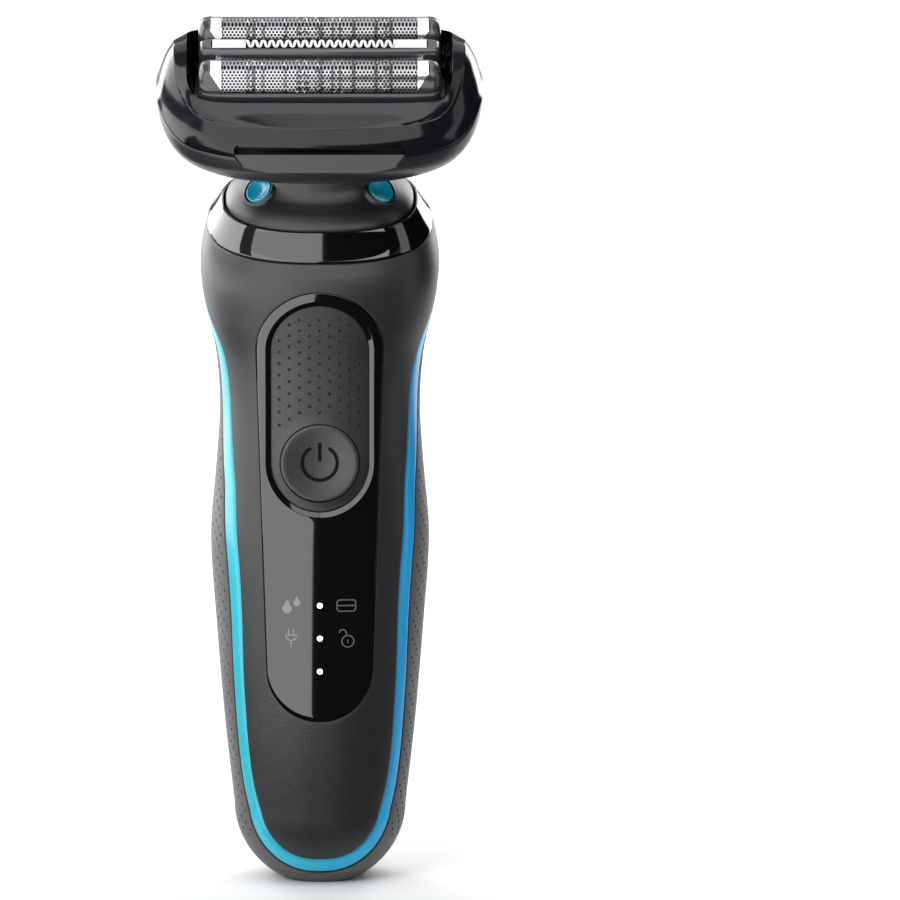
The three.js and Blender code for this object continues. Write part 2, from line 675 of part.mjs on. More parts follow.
function foilFrame() {
  const { half, depth, inside, bottom, top, cap } = FOIL_FRAME;
  return block([-half, -depth, bottom], [half, depth, top])
    .subtract(block([-cap, -inside, bottom - 1], [cap, inside, top + 1]))
    .add(endCap(1))
    .add(endCap(-1));
}

function innerCutter() {
  const { radius, half, bottom, block: reach, blockDepth, socket, socketTop } = CUTTER;
  return arch(radius, half, FOIL.axis - 0.8, FOIL.axis)
    .add(block([-reach, -blockDepth, bottom], [reach, blockDepth, FOIL.axis]))
    .subtract(block([-socket / 2, -socket / 2, bottom - 1], [socket / 2, socket / 2, socketTop]));
}

function trimmerFrame() {
  const { half, depth, bottom, top, edge, cavity, cavityDepth } = TRIMMER;
  const shape = new THREE.Shape();
  shape.moveTo(depth, bottom);
  shape.absarc(depth - edge, top - edge, edge, 0, Math.PI / 2, false);
  shape.absarc(-depth + edge, top - edge, edge, Math.PI / 2, Math.PI, false);
  shape.lineTo(-depth, bottom);
  shape.closePath();
  return acrossX(shape, half, 3)
    .subtract(block([-cavity, -cavityDepth, bottom - 1], [cavity, cavityDepth, COMB.z - 1]))
    .subtract(block([-COMB.half - GAP, -COMB.depth - GAP, bottom], [COMB.half + GAP, COMB.depth + GAP, top + 1]));
}

// A toothed plate: both long edges carry teeth over the middle stretch.
function toothedPlate(half, depth, teeth, bottom, top) {
  const shape = new THREE.Shape();
  const start = (-teeth * COMB.pitch) / 2;
  const root = depth * 0.35;
  shape.moveTo(-half, -depth);
  for (let i = 0; i < teeth; i += 1) {
    const x = start + i * COMB.pitch;
    shape.lineTo(x, -depth);
    shape.lineTo(x + COMB.pitch * 0.1, -root);
    shape.lineTo(x + COMB.pitch * 0.5, -root);
    shape.lineTo(x + COMB.pitch * 0.6, -depth);
  }
  shape.lineTo(half, -depth);
  shape.lineTo(half, depth);
  shape.lineTo(-half, depth);
  shape.closePath();
  const geometry = new THREE.ExtrudeGeometry(shape, { depth: top - bottom, bevelEnabled: false });
  return toSolid(geometry.translate(0, 0, bottom));
}

function trimmerComb() {
  return toothedPlate(COMB.half, COMB.depth, COMB.teeth, COMB.z - 0.3, COMB.z + 0.3);
}

function trimmerBlade() {
  const { bottom, block: reach, socket } = CUTTER;
  return toothedPlate(CUTTER.half - 0.6, COMB.depth - 0.25, COMB.teeth - 2, COMB.z - 1.1, COMB.z - 0.6)
    .add(block([-reach, -1.55, bottom + 0.4], [reach, 1.55, COMB.z - 1.4]))
    .add(block([-reach, -0.7, COMB.z - 1.6], [reach, 0.7, COMB.z - 0.9]))
    .subtract(block([-socket / 2, -1.25, bottom - 1], [socket / 2, 1.25, CUTTER.socketTop - 0.6]));
}

// Rocker that takes the drive pin from below and drives the three cutters with its posts.
function driveCoupler() {
  const { half, top } = POST;
  const hub = bar(3.2, 0, 0, -9.4, -5.2, 24);
  const beam = block([-2.2, -ELEMENT_PITCH - 1.5, -5.4], [2.2, ELEMENT_PITCH + 1.5, -4]);
  const posts = [-1, 0, 1].map((i) => {
    const depth = i === 0 ? 0.9 : half;
    return block([-half, i * ELEMENT_PITCH - depth, -4.2], [half, i * ELEMENT_PITCH + depth, top]);
  });
  const hole = bar(DRIVE_PIN.radius + GAP, 0, 0, -12, DRIVE_PIN.top + GAP, 20);
  return posts.reduce((sum, post) => sum.add(post), hub.add(beam)).subtract(hole);
}

function drivePin() {
  return bar(DRIVE_PIN.radius, 0, 0, DRIVE_PIN.bottom, DRIVE_PIN.top, 20);
}

// Rubber boot round the drive pin where it leaves the neck.
function driveBoot() {
  const { radius, bore, bottom, top } = BOOT;
  const profile = [
    [bore, bottom],
    [radius, bottom],
    [radius, bottom + 2.4],
    [radius - 0.8, bottom + 2.8],
    [radius - 0.6, top - 0.6],
    [radius - 1.2, top],
    [bore, top],
    [bore, bottom],
  ].map(([r, t]) => new THREE.Vector2(r, t));
  return toSolid(new THREE.LatheGeometry(profile, 20).rotateX(Math.PI / 2));
}

// A wire wound round Z.
class Helix extends THREE.Curve {
  constructor(radius, bottom, top, turns) {
    super();
    Object.assign(this, { radius, bottom, top, turns });
  }

  getPoint(u, target = new THREE.Vector3()) {
    const angle = 2 * Math.PI * this.turns * u;
    const height = this.bottom + (this.top - this.bottom) * u;
    return target.set(this.radius * Math.cos(angle), this.radius * Math.sin(angle), height);
  }
}

function coilSpring() {
  const { radius, wire, turns, bottom, top } = SPRING;
  const section = new THREE.Shape();
  section.absarc(0, 0, wire, 0, 2 * Math.PI, false);
  const extrudePath = new Helix(radius, bottom + wire, top - wire, turns);
  return toSolid(new THREE.ExtrudeGeometry(section, { steps: turns * 6, curveSegments: 2, extrudePath }));
}

// ---- assembly --------------------------------------------------------------------------
function piece(name, solid, look, parent, place = [0, 0, 0]) {
  const mesh = new THREE.Mesh(toGeometry(solid), new THREE.MeshStandardMaterial(LOOKS[look]));
  mesh.name = name;
  mesh.position.set(...place);
  parent.add(mesh);
}

function leaningGroup({ y, z, lean }) {
  const group = new THREE.Group();
  group.position.set(0, y, z);
  group.rotation.x = radians(lean);
  return group;
}

const shaver = new THREE.Group();
const neck = leaningGroup(NECK);
const head = leaningGroup(HEAD);
shaver.add(neck, head);

piece('front_shell', frontShell(), 'shell', shaver);
piece('rear_shell', rearShell(), 'satin', shaver);
piece('rubber_grip', rubberGrip(), 'grip', shaver);
piece('accent_stripe', accentStripe(), 'accent', shaver);
piece('front_panel', frontPanel(), 'gloss', shaver);
piece('thumb_pad', thumbPad(), 'pad', shaver);
piece('power_button', powerButton(), 'pad', shaver);
piece('light_guide', lightGuide(), 'light', shaver);

piece('charging_socket', chargingSocket(), 'satin', shaver);
piece('socket_pin_left', socketPin(-1), 'brass', shaver);
piece('socket_pin_right', socketPin(1), 'brass', shaver);
piece('battery', battery(), 'cell', shaver);
piece('battery_contact_lower', batteryContact(BATTERY.bottom - 0.4), 'brass', shaver);
piece('battery_contact_upper', batteryContact(BATTERY.top + 0.2), 'brass', shaver);
piece('chassis', chassis(), 'white', shaver);
piece('circuit_board', circuitBoard(), 'board', shaver);
piece('power_switch', powerSwitch(), 'steel', shaver);
['lower', 'middle', 'upper'].forEach((where, i) => {
  piece(`light_chip_${where}`, lightChip(LIGHT_HEIGHTS[i]), 'light', shaver);
});
piece('motor', motor(), 'steel', shaver);
piece('motor_bracket', motorBracket(), 'white', shaver);
piece('motor_shaft', motorShaft(), 'steel', shaver);
piece('drive_bridge', driveBridge(), 'white', shaver);
piece('leaf_spring_left', leafSpring(-1), 'steel', shaver);
piece('leaf_spring_right', leafSpring(1), 'steel', shaver);

piece('collar_ring', collarRing(), 'gloss', neck);
piece('neck_dome', neckDome(), 'satin', shaver);
piece('release_button_left', releaseButton(-1), 'accent', shaver);
piece('release_button_right', releaseButton(1), 'accent', shaver);
piece('drive_boot', driveBoot(), 'rubber', head);
piece('drive_pin', drivePin(), 'steel', head);

piece('head_base', headBase(), 'satin', head);
piece('head_bezel', headBezel(), 'gloss', head);
piece('element_carrier', elementCarrier(), 'frame', head);
piece('drive_coupler', driveCoupler(), 'white', head);
for (const [name, side] of [['front', -1], ['rear', 1]]) {
  const place = [0, side * ELEMENT_PITCH, 0];
  piece(`${name}_foil`, foilSheet(), 'steel', head, place);
  piece(`${name}_foil_frame`, foilFrame(), 'frame', head, place);
  piece(`${name}_cutter`, innerCutter(), 'steel', head, place);
}
piece('trimmer_frame', trimmerFrame(), 'frame', head);
piece('trimmer_comb', trimmerComb(), 'steel', head);
piece('trimmer_blade', trimmerBlade(), 'steel', head);
for (const [row, y] of [['front', -ELEMENT_PITCH], ['middle', 0], ['rear', ELEMENT_PITCH]]) {
  piece(`${row}_spring_left`, coilSpring(), 'steel', head, [-SPRING.x, y, 0]);
  piece(`${row}_spring_right`, coilSpring(), 'steel', head, [SPRING.x, y, 0]);
}

export default shaver;
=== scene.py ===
import json
import math

import bmesh
import bpy
import numpy as np
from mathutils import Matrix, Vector

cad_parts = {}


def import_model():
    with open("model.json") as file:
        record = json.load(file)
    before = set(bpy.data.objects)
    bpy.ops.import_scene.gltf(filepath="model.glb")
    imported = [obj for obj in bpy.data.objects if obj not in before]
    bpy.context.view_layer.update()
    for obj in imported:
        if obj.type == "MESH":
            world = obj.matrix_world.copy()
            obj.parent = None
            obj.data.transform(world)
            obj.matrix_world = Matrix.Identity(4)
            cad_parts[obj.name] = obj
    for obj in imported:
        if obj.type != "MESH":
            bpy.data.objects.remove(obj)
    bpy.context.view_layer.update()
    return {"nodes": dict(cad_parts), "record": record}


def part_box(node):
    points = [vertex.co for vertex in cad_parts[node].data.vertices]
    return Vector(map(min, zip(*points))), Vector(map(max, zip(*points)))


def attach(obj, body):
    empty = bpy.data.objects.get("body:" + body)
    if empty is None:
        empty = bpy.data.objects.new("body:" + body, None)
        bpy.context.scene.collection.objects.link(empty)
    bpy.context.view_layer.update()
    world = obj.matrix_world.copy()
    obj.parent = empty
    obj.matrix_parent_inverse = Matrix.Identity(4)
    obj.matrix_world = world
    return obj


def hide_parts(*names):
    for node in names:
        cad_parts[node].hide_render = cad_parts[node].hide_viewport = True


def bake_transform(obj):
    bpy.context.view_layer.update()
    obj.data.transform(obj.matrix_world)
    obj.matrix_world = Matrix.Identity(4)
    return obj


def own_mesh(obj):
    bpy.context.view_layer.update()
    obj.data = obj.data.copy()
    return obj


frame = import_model()

MM = 0.001
COLLECTION = bpy.context.scene.collection
WELD = 2e-7  # metres between points that are joined

# ---- node materials ------------------------------------------------------------------------
LOOKS = {}  # material by name; all but print and symbol are named after their slot
MOTTLE_SCALE, ROUGH_SCALE = 60, 220  # of the noise in colour and in roughness
PAINTED_SHADE_REACH = 0.017  # metres from the middle where the painted shade across the piece ends


def material(name, color, rough, metal=0.0, grain=0.0, grain_scale=2500.0, vary=0.15, rough_vary=0.08,
             coat=0.0, coat_rough=0.03, brush=None, emission=None, spec=0.5, across=None):
    """A principled material with mottled colour, uneven roughness and a surface bump grain metres deep."""
    made = bpy.data.materials.new(name)
    made.use_nodes = True
    nodes, links = made.node_tree.nodes, made.node_tree.links
    shader = nodes["Principled BSDF"]
    shader.inputs["Metallic"].default_value = metal
    shader.inputs["Specular IOR Level"].default_value = spec
    shader.inputs["Coat Weight"].default_value = coat
    shader.inputs["Coat Roughness"].default_value = coat_rough
    place = nodes.new("ShaderNodeTexCoord")

    def noise(scale, detail, stretch=None):
        texture = nodes.new("ShaderNodeTexNoise")
        texture.inputs["Scale"].default_value = scale
        texture.inputs["Detail"].default_value = detail
        if stretch:
            mapping = nodes.new("ShaderNodeMapping")
            mapping.inputs["Scale"].default_value = stretch
            links.new(place.outputs["Object"], mapping.inputs["Vector"])
            links.new(mapping.outputs["Vector"], texture.inputs["Vector"])
        else:
            links.new(place.outputs["Object"], texture.inputs["Vector"])
        return texture.outputs["Fac"]

    mottle = noise(MOTTLE_SCALE, 4)
    ramp = nodes.new("ShaderNodeValToRGB")
    ramp.color_ramp.elements[0].position = 0.3
    ramp.color_ramp.elements[1].position = 0.7
    for element, factor in zip(ramp.color_ramp.elements, (1 - vary, 1 + vary)):
        element.color = (*[min(c * factor, 1.0) for c in color], 1)
    links.new(mottle, ramp.inputs["Fac"])
    tint = ramp.outputs["Color"]
    if across:
        # painted shade: a second, darker colour fades in from the lit left to the right
        split = nodes.new("ShaderNodeSeparateXYZ")
        links.new(place.outputs["Object"], split.inputs["Vector"])
        fade = nodes.new("ShaderNodeMapRange")
        fade.inputs["From Min"].default_value = -PAINTED_SHADE_REACH
        fade.inputs["From Max"].default_value = PAINTED_SHADE_REACH
        links.new(split.outputs["X"], fade.inputs["Value"])
        mix = nodes.new("ShaderNodeMixRGB")
        links.new(fade.outputs["Result"], mix.inputs["Fac"])
        links.new(tint, mix.inputs["Color1"])
        mix.inputs["Color2"].default_value = (*across, 1)
        tint = mix.outputs["Color"]
    links.new(tint, shader.inputs["Base Color"])
    spread = nodes.new("ShaderNodeMapRange")
    spread.inputs["To Min"].default_value = max(rough - rough_vary, 0.01)
    spread.inputs["To Max"].default_value = min(rough + rough_vary, 1.0)
    fine = noise(grain_scale, 3, brush)
    links.new(fine if (brush or grain) else noise(ROUGH_SCALE, 5), spread.inputs["Value"])
    links.new(spread.outputs["Result"], shader.inputs["Roughness"])
    if grain:
        bump = nodes.new("ShaderNodeBump")
        bump.inputs["Strength"].default_value = 1.0
        bump.inputs["Distance"].default_value = grain
        links.new(fine, bump.inputs["Height"])
        links.new(bump.outputs["Normal"], shader.inputs["Normal"])
    if emission:
        shader.inputs["Emission Color"].default_value = (*emission[:3], 1)
        shader.inputs["Emission Strength"].default_value = emission[3]
    LOOKS[name] = made
    return made


material("shell", (0.015, 0.0162, 0.0182), 0.42, grain=0.00006, grain_scale=3000, rough_vary=0.12)
material("inner_shell", (0.03, 0.03, 0.032), 0.5, grain=0.00001)
material("grip", (0.075, 0.076, 0.079), 0.55, grain=0.00001, grain_scale=4000, rough_vary=0.1)
# painted shade: the accent is lighter turquoise on its lit left and darker blue on its right
material("accent", (0.02, 0.48, 0.58), 0.3, vary=0.05, grain=0.000002, coat=0.3, coat_rough=0.15,
         across=(0.0, 0.29, 0.62))
material("gloss", (0.004, 0.004, 0.005), 0.06, vary=0.05, rough_vary=0.015, coat=0.6)
material("pad", (0.018, 0.0192, 0.0215), 0.42, grain=0.00006, grain_scale=3000, rough_vary=0.12)
material("button", (0.026, 0.0275, 0.030), 0.36, grain=0.00005, grain_scale=3000)
material("print", (0.12, 0.123, 0.127), 0.15, vary=0.04, rough_vary=0.03, spec=1.0)
# painted shade: near black with almost no sheen, for the shade in the power symbol's engraved groove
material("symbol", (0.004, 0.004, 0.0045), 0.6, vary=0.05, spec=0.06)
material("light", (0.95, 0.95, 0.9), 0.2, vary=0.02, emission=(1.0, 0.93, 0.82, 6.0))
material("socket", (0.02, 0.02, 0.021), 0.45, grain=0.000006)
material("brass", (0.75, 0.53, 0.2), 0.25, metal=1, grain=0.000002, grain_scale=1500)
material("cell", (0.02, 0.13, 0.3), 0.3, grain=0.000003, grain_scale=500, coat=0.4)
material("inner_white", (0.72, 0.72, 0.7), 0.45, vary=0.03, grain=0.000004)
material("board", (0.01, 0.09, 0.035), 0.35, grain=0.00002, grain_scale=700)
material("spring_steel", (0.56, 0.57, 0.58), 0.25, metal=1, grain=0.000002, grain_scale=2000)
material("motor_steel", (0.5, 0.51, 0.52), 0.35, metal=1, grain=0.000003, brush=(1, 1, 30), grain_scale=60)
material("neck", (0.010, 0.0108, 0.012), 0.36, grain=0.00004, grain_scale=3000)
material("release", (0.0, 0.36, 0.56), 0.25, vary=0.05, coat=0.3)
material("boot", (0.014, 0.014, 0.015), 0.7, grain=0.00001)
material("head_satin", (0.014, 0.015, 0.017), 0.3, grain=0.000003, grain_scale=3500)
material("head_gloss", (0.0065, 0.0075, 0.0095), 0.13, vary=0.06, rough_vary=0.03, spec=0.3)
material("element_frame", (0.028, 0.030, 0.034), 0.25, vary=0.08, coat=0.3, coat_rough=0.12)
material("foil", (0.31, 0.315, 0.325), 0.27, metal=1, grain=0.0000015, brush=(60, 1, 1), grain_scale=40)
# painted shade: the cutter's steel is coloured almost black, so the foil holes over it read dark
material("cutter_steel", (0.02, 0.0205, 0.022), 0.5, metal=0.6, grain=0.000003, brush=(400, 1, 1),
         grain_scale=14)
material("comb_steel", (0.86, 0.87, 0.88), 0.22, metal=1, grain=0.0000015, brush=(40, 1, 1), grain_scale=50)

for row in frame["record"]["subparts"]:
    node = frame["nodes"][row["node"]]
    node.data.materials.clear()
    node.data.materials.append(LOOKS[row["material_slot"]])


# ---- mesh helpers --------------------------------------------------------------------------
def outward_mesh(name, points, faces, weld=False):
    """A mesh from points in millimetres, with its faces turned outwards."""
    mesh = bpy.data.meshes.new(name)
    mesh.from_pydata((np.asarray(points, float) * MM).tolist(), [], faces)
    bm = bmesh.new()
    bm.from_mesh(mesh)
    if weld:
        bmesh.ops.remove_doubles(bm, verts=bm.verts, dist=WELD)
        bmesh.ops.dissolve_degenerate(bm, edges=bm.edges, dist=WELD)
    bmesh.ops.recalc_face_normals(bm, faces=bm.faces)
    bm.to_mesh(mesh)
    bm.free()
    return mesh


def placed(name, data):
    made = bpy.data.objects.new(name, data)
    COLLECTION.objects.link(made)
    return made


def piece(name, points, faces, body, slot, stands_for=(), sharp=35, look=None):
    """A closed mesh piece from points in millimetres, welded and smooth up to sharp degrees."""
    made = placed(name, outward_mesh(name, points, faces, weld=True))
    made.data.materials.append(LOOKS[look or slot])
    smooth(made, sharp)
    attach(made, body)
    if stands_for:
        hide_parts(*stands_for)
    return made


def smooth(obj, sharp):
    mesh = obj.data
    mesh.polygons.foreach_set("use_smooth", [True] * len(mesh.polygons))
    mesh.set_sharp_from_angle(angle=math.radians(sharp))
    mesh.update()


def grid_faces(rows, count, around=True, closed=False):
    """Quads over rows of count points, listed row by row. closed joins the last row to the first."""
    faces = []
    for r in range(rows if closed else rows - 1):
        for i in range(count if around else count - 1):
            a, b = r * count + i, r * count + (i + 1) % count
            up = ((r + 1) % rows) * count
            faces.append((a, b, up + (i + 1) % count, up + i))
    return faces


def ring_solid(name, loops, *args, **more):
    """A solid ring: loops of points that run round its section, the last joined to the first."""
    loops = np.asarray(loops)
    faces = grid_faces(loops.shape[0], loops.shape[1], closed=True)
    return piece(name, loops.reshape(-1, 3), faces, *args, **more)


def capped_solid(name, loops, *args, **more):
    """A solid from loops, with both end loops closed by a fan."""
    loops = np.asarray(loops)
    rows, count = loops.shape[:2]
    points = np.vstack([loops.reshape(-1, 3), loops[0].mean(0), loops[-1].mean(0)])
    faces = grid_faces(rows, count)
    last = (rows - 1) * count
    for i in range(count):
        j = (i + 1) % count
        faces.append((rows * count, j, i))
        faces.append((rows * count + 1, last + i, last + j))
    return piece(name, points, faces, *args, **more)


def cut(obj, points, faces, sharp=35):
    """Takes a closed mesh, given in millimetres, out of the piece."""
    tool = placed("cutter", outward_mesh("cutter", points, faces))
    change = obj.modifiers.new("cut", "BOOLEAN")
    change.operation = "DIFFERENCE"
    change.solver = "MANIFOLD"
    change.object = tool
    bpy.context.view_layer.update()
    graph = bpy.context.evaluated_depsgraph_get()
    result = bpy.data.meshes.new_from_object(obj.evaluated_get(graph))
    obj.modifiers.remove(change)
    obj.data = result
    bpy.data.objects.remove(tool)
    smooth(obj, sharp)


def merged(parts):
    """Several (points, faces) meshes as one."""
    points, faces = [], []
    for part_points, part_faces in parts:
        start = len(points)
        points.extend(np.asarray(part_points).tolist())
        faces.extend(tuple(start + i for i in face) for face in part_faces)
    return np.array(points), faces


def ball(centre, radius, depth, normal, sides, rings=4):
    """A flattened ball round centre: depth is its half height along normal."""
    normal = np.asarray(normal, float)
    normal /= np.linalg.norm(normal)
    side = np.cross(normal, [0.0, 0.0, 1.0] if abs(normal[2]) < 0.9 else [1.0, 0.0, 0.0])
    side /= np.linalg.norm(side)
    other = np.cross(normal, side)
    points = [centre - normal * depth]
    for r in range(1, rings):
        tilt = math.pi * r / rings
        for s in range(sides):
            turn = 2 * math.pi * s / sides
            out = side * math.cos(turn) + other * math.sin(turn)
            points.append(centre + out * radius * math.sin(tilt) - normal * depth * math.cos(tilt))
    points.append(centre + normal * depth)
    faces = []
    for s in range(sides):
        t = (s + 1) % sides
        faces.append((0, 1 + t, 1 + s))
        for r in range(rings - 2):
            a = 1 + r * sides
            faces.append((a + s, a + t, a + sides + t, a + sides + s))
        a = 1 + (rings - 2) * sides
        faces.append((len(points) - 1, a + s, a + t))
    return np.array(points), faces


def prism(outline, front, back):
    """A prism along Y through an outline of (x, z); front and back are Y, or one value per point."""
    outline = np.asarray(outline, float)
    count = len(outline)
    near = np.column_stack([outline[:, 0], np.broadcast_to(front, count), outline[:, 1]])
    far = np.column_stack([outline[:, 0], np.broadcast_to(back, count), outline[:, 1]])
    faces = [tuple(range(count)), tuple(range(2 * count - 1, count - 1, -1))]
    faces += [(i, i + count, (i + 1) % count + count, (i + 1) % count) for i in range(count)]
    return np.vstack([near, far]), faces


def full_turn(count):
    """Even turns round a circle, in radians."""
    return 2 * math.pi * np.arange(count) / count


def circle(radius, x, z, sides):
    turns = full_turn(sides)
    return np.column_stack([x + radius * np.cos(turns), z + radius * np.sin(turns)])


def between(first, last, share):
    return first * (1 - share) + last * share


def signed_power(value, power):
    return np.sign(value) * np.abs(value) ** power


def leaning(points, y, z, lean):
    """Points of a frame that leans about X, moved into the shaver's frame."""
    points = np.asarray(points, float)
    c, s = math.cos(math.radians(lean)), math.sin(math.radians(lean))
    return np.stack([points[..., 0], y + c * points[..., 1] - s * points[..., 2],
                     z + s * points[..., 1] + c * points[..., 2]], -1)


HEAD_FRAME = dict(y=-10.4, z=152.0, lean=21.0)
NECK_FRAME = dict(y=-1.5, z=124.6, lean=15.5)


def headed(points):
    return leaning(points, **HEAD_FRAME)


# ---- the handle's outer form ---------------------------------------------------------------
BODY_POWER = 2.5  # of the superellipse that its sections follow
BODY_TOP = 124.6
FOOT = 14.0  # height of the rounded foot
BUTTON_Z = 81.2
PANEL = dict(top=102.6, top_radius=11.9, bottom=41.85, bottom_radius=9.9)
PAD_SHAPE = dict(top=102.6, top_radius=9.25, bottom=BUTTON_Z, bottom_radius=9.25)
HALF = 150  # points down one side of the handle's loops
ACROSS = 40  # of them across the shell's top
HALVINGS = 40  # steps of a search by halves
CLEAR = 0.3  # from the edges of the parting strip to the shell and to the grip
ROUND = 0.22  # rounding of the shell's and the grip's edges
GAP = 0.07  # visible gap beside the panel
PANEL_INSET = 0.05  # of the panel's edge inside its nominal outline
EDGE = 0.1  # rounding of the edges beside the panel
BEVEL = 0.3  # share of a rounding at the row in its middle
STATIONS = np.array([  # z, y, lean, half width, half depth
    (14, 0, 0, 16, 13.2), (30, 0.5, 0, 17.8, 14.8), (49, 1, 0, 19.4, 16.3), (65, 1.1, 0, 20.4, 16.8),
    (78, 0.9, 0, 19.4, 16.3), (90, 0.5, 1, 18.7, 15.9), (101, 0, 4, 19.5, 16.3), (110, -0.6, 8.5, 21.5, 17.7),
    (117.2, -1.1, 12.5, 22.3, 18.9), (121.6, -1.4, 14.5, 21.8, 18.9), (124.6, -1.5, 15.5, 21, 18.2)])
PARTING = np.array([  # z, y of the stripe's middle, its half width
    (-6, -10.4, 0.55), (9, -10.2, 0.6), (20, -9.2, 0.75), (36, -9.6, 0.8), (60, -10.6, 0.85), (74, -9.3, 1.1),
    (88, -6.8, 1.6), (100, -6.7, 1.5), (107, -5.6, 1.4), (112, -2.6, 1.4), (118, 2.6, 1.3), (134, 13, 1.3)])


def along(table, z, column):
    """Smooth value of a column of table along its first column."""
    z = np.asarray(z, float)
    at, value = table[:, 0], table[:, column]
    before, after = np.r_[0, np.arange(len(at) - 1)], np.r_[np.arange(1, len(at)), len(at) - 1]
    slope = (value[after] - value[before]) / (at[after] - at[before])
    i = np.clip(np.searchsorted(at, z, side="right") - 1, 0, len(at) - 2)
    span = at[i + 1] - at[i]
    u = (z - at[i]) / span
    start = value[i] * (1 + 2 * u) * (1 - u) ** 2 + slope[i] * span * u * (1 - u) ** 2
    return start + value[i + 1] * u * u * (3 - 2 * u) + slope[i + 1] * span * u * u * (u - 1)


def section(z):
    """Centre y, lean, half width and half depth of the handle at z."""
    z = np.asarray(z, float)
    grow = (1 - (1 - np.clip(z, 0, FOOT) / FOOT) ** 2) ** 0.7
    above = np.maximum(z, FOOT)
    foot = z < FOOT
    width = np.where(foot, 6 + 10 * grow, along(STATIONS, above, 3))
    depth = np.where(foot, 7 + 6.2 * grow, along(STATIONS, above, 4))
    y = np.where(foot, 0, along(STATIONS, above, 1))
    lean = np.where(foot, 0, along(STATIONS, above, 2))
    return y, lean, width, depth


def surface(q, z, inset=0.0):
    """Points of the handle's form, drawn in by inset. q is the turn from the front, z the section."""
    q, z = np.broadcast_arrays(np.asarray(q, float), np.asarray(z, float))
    y, lean, width, depth = section(z)
    lift = inset * np.clip(1 - z / 5, 0, 1)
    x = signed_power(np.sin(q), 2 / BODY_POWER) * (width - inset)
    a = -signed_power(np.cos(q), 2 / BODY_POWER) * (depth - inset)
    tilt = np.radians(lean)
    return np.stack([x, y + a * np.cos(tilt), z + a * np.sin(tilt) + lift], -1)


def edge_y(z, share, clearance):
    return along(PARTING, z, 1) + share * along(PARTING, z, 2) + clearance


def edge_turn(z, share, clearance, inset=0.0):
    """The turn q at which section z meets the line beside the parting line; 0 below its lowest point."""
    z = np.asarray(z, float)
    low, high = np.zeros_like(z), np.full_like(z, math.pi)
    for _ in range(HALVINGS):
        middle = (low + high) / 2
        point = surface(middle, z, inset)
        ahead = point[..., 1] < edge_y(point[..., 2], share, clearance)
        low, high = np.where(ahead, middle, low), np.where(ahead, high, middle)
    return np.where(low < 1e-6, 0.0, low)


def edge_bottom(share, clearance, inset=0.0):
    """The lowest section that the line beside the parting line meets."""
    low, high = 0.01, FOOT
    for _ in range(HALVINGS):
        middle = (low + high) / 2
        point = surface(0.0, middle, inset)
        if point[1] < edge_y(point[2], share, clearance):
            high = middle
        else:
            low = middle
    return high


def edge_line(share, clearance, inset=0.0, count=150, top=BODY_TOP):
    """(q, z) from the collar down to the lowest point, evenly spaced along the surface."""
    bottom = edge_bottom(share, clearance, inset)
    z = bottom + (top - bottom) * np.linspace(1, 0, 900) ** 2
    q = edge_turn(z, share, clearance, inset)
    q[-1] = 0.0
    walked = np.r_[0, np.cumsum(np.linalg.norm(np.diff(surface(q, z, inset), axis=0), axis=1))]
    at = np.linspace(0, walked[-1], count)
    return np.interp(at, walked, q), np.interp(at, walked, z)


def front_sections(x, z, inset=0.0):
    """(q, section z) of the front surface point that is seen at x and height z."""
    x, z = np.broadcast_arrays(np.asarray(x, float), np.asarray(z, float))
    ring = z.copy()
    for _ in range(8):
        y, lean, width, depth = section(ring)
        sine = np.clip(np.abs(x) / (width - inset), 0, 0.999) ** (BODY_POWER / 2)
        a = -np.sqrt(1 - sine ** 2) ** (2 / BODY_POWER) * (depth - inset)
        ring = z - a * np.sin(np.radians(lean))
    return np.sign(x) * np.arcsin(sine), ring


def front_points(x, z, inset=0.0):
    """Points of the front surface that are seen at x and height z."""
    q, ring = front_sections(x, z, inset)
    return surface(q, ring, inset)


def stadium(top, top_radius, bottom, bottom_radius, grow=0.0, count=HALF):
    """A tapered stadium as (x, z), from its top centre clockwise; each half has count points."""
    top_radius, bottom_radius = top_radius + grow, bottom_radius + grow
    turns = np.linspace(0, math.pi / 2, 60)
    upper = np.column_stack([top_radius * np.sin(turns), top + top_radius * np.cos(turns)])
    lower = np.column_stack([bottom_radius * np.cos(turns), bottom - bottom_radius * np.sin(turns)])
    half = np.vstack([upper, lower])
    walked = np.r_[0, np.cumsum(np.linalg.norm(np.diff(half, axis=0), axis=1))]
    at = np.linspace(0, walked[-1], count)
    right = np.column_stack([np.interp(at, walked, half[:, i]) for i in (0, 1)])
    left = right[1:-1][::-1] * [-1, 1]
    return np.vstack([right, left])


def round_trip(q, z):
    """A right-hand line from the top centre to the bottom centre, closed by its mirror image."""
    return np.array([np.r_[q, -q[1:-1][::-1]], np.r_[z, z[1:-1][::-1]]])


# ---- front shell ---------------------------------------------------------------------------
def shell_outer(clearance, inset, top_drop=0.0):
    """The shell's outer boundary: across the top, then down the parting line to its lowest point."""
    top = BODY_TOP - top_drop
    turn = float(edge_turn(top, -1, -clearance, inset))
    across = np.linspace(0, turn, ACROSS)
    q, z = edge_line(-1, -clearance, inset, HALF - ACROSS + 1, top)
    return round_trip(np.r_[across, q[1:]], np.r_[np.full(ACROSS, top), z[1:]])


def shell_inner(grow, inset):
    return np.array(front_sections(*stadium(grow=grow, **PANEL).T, inset))


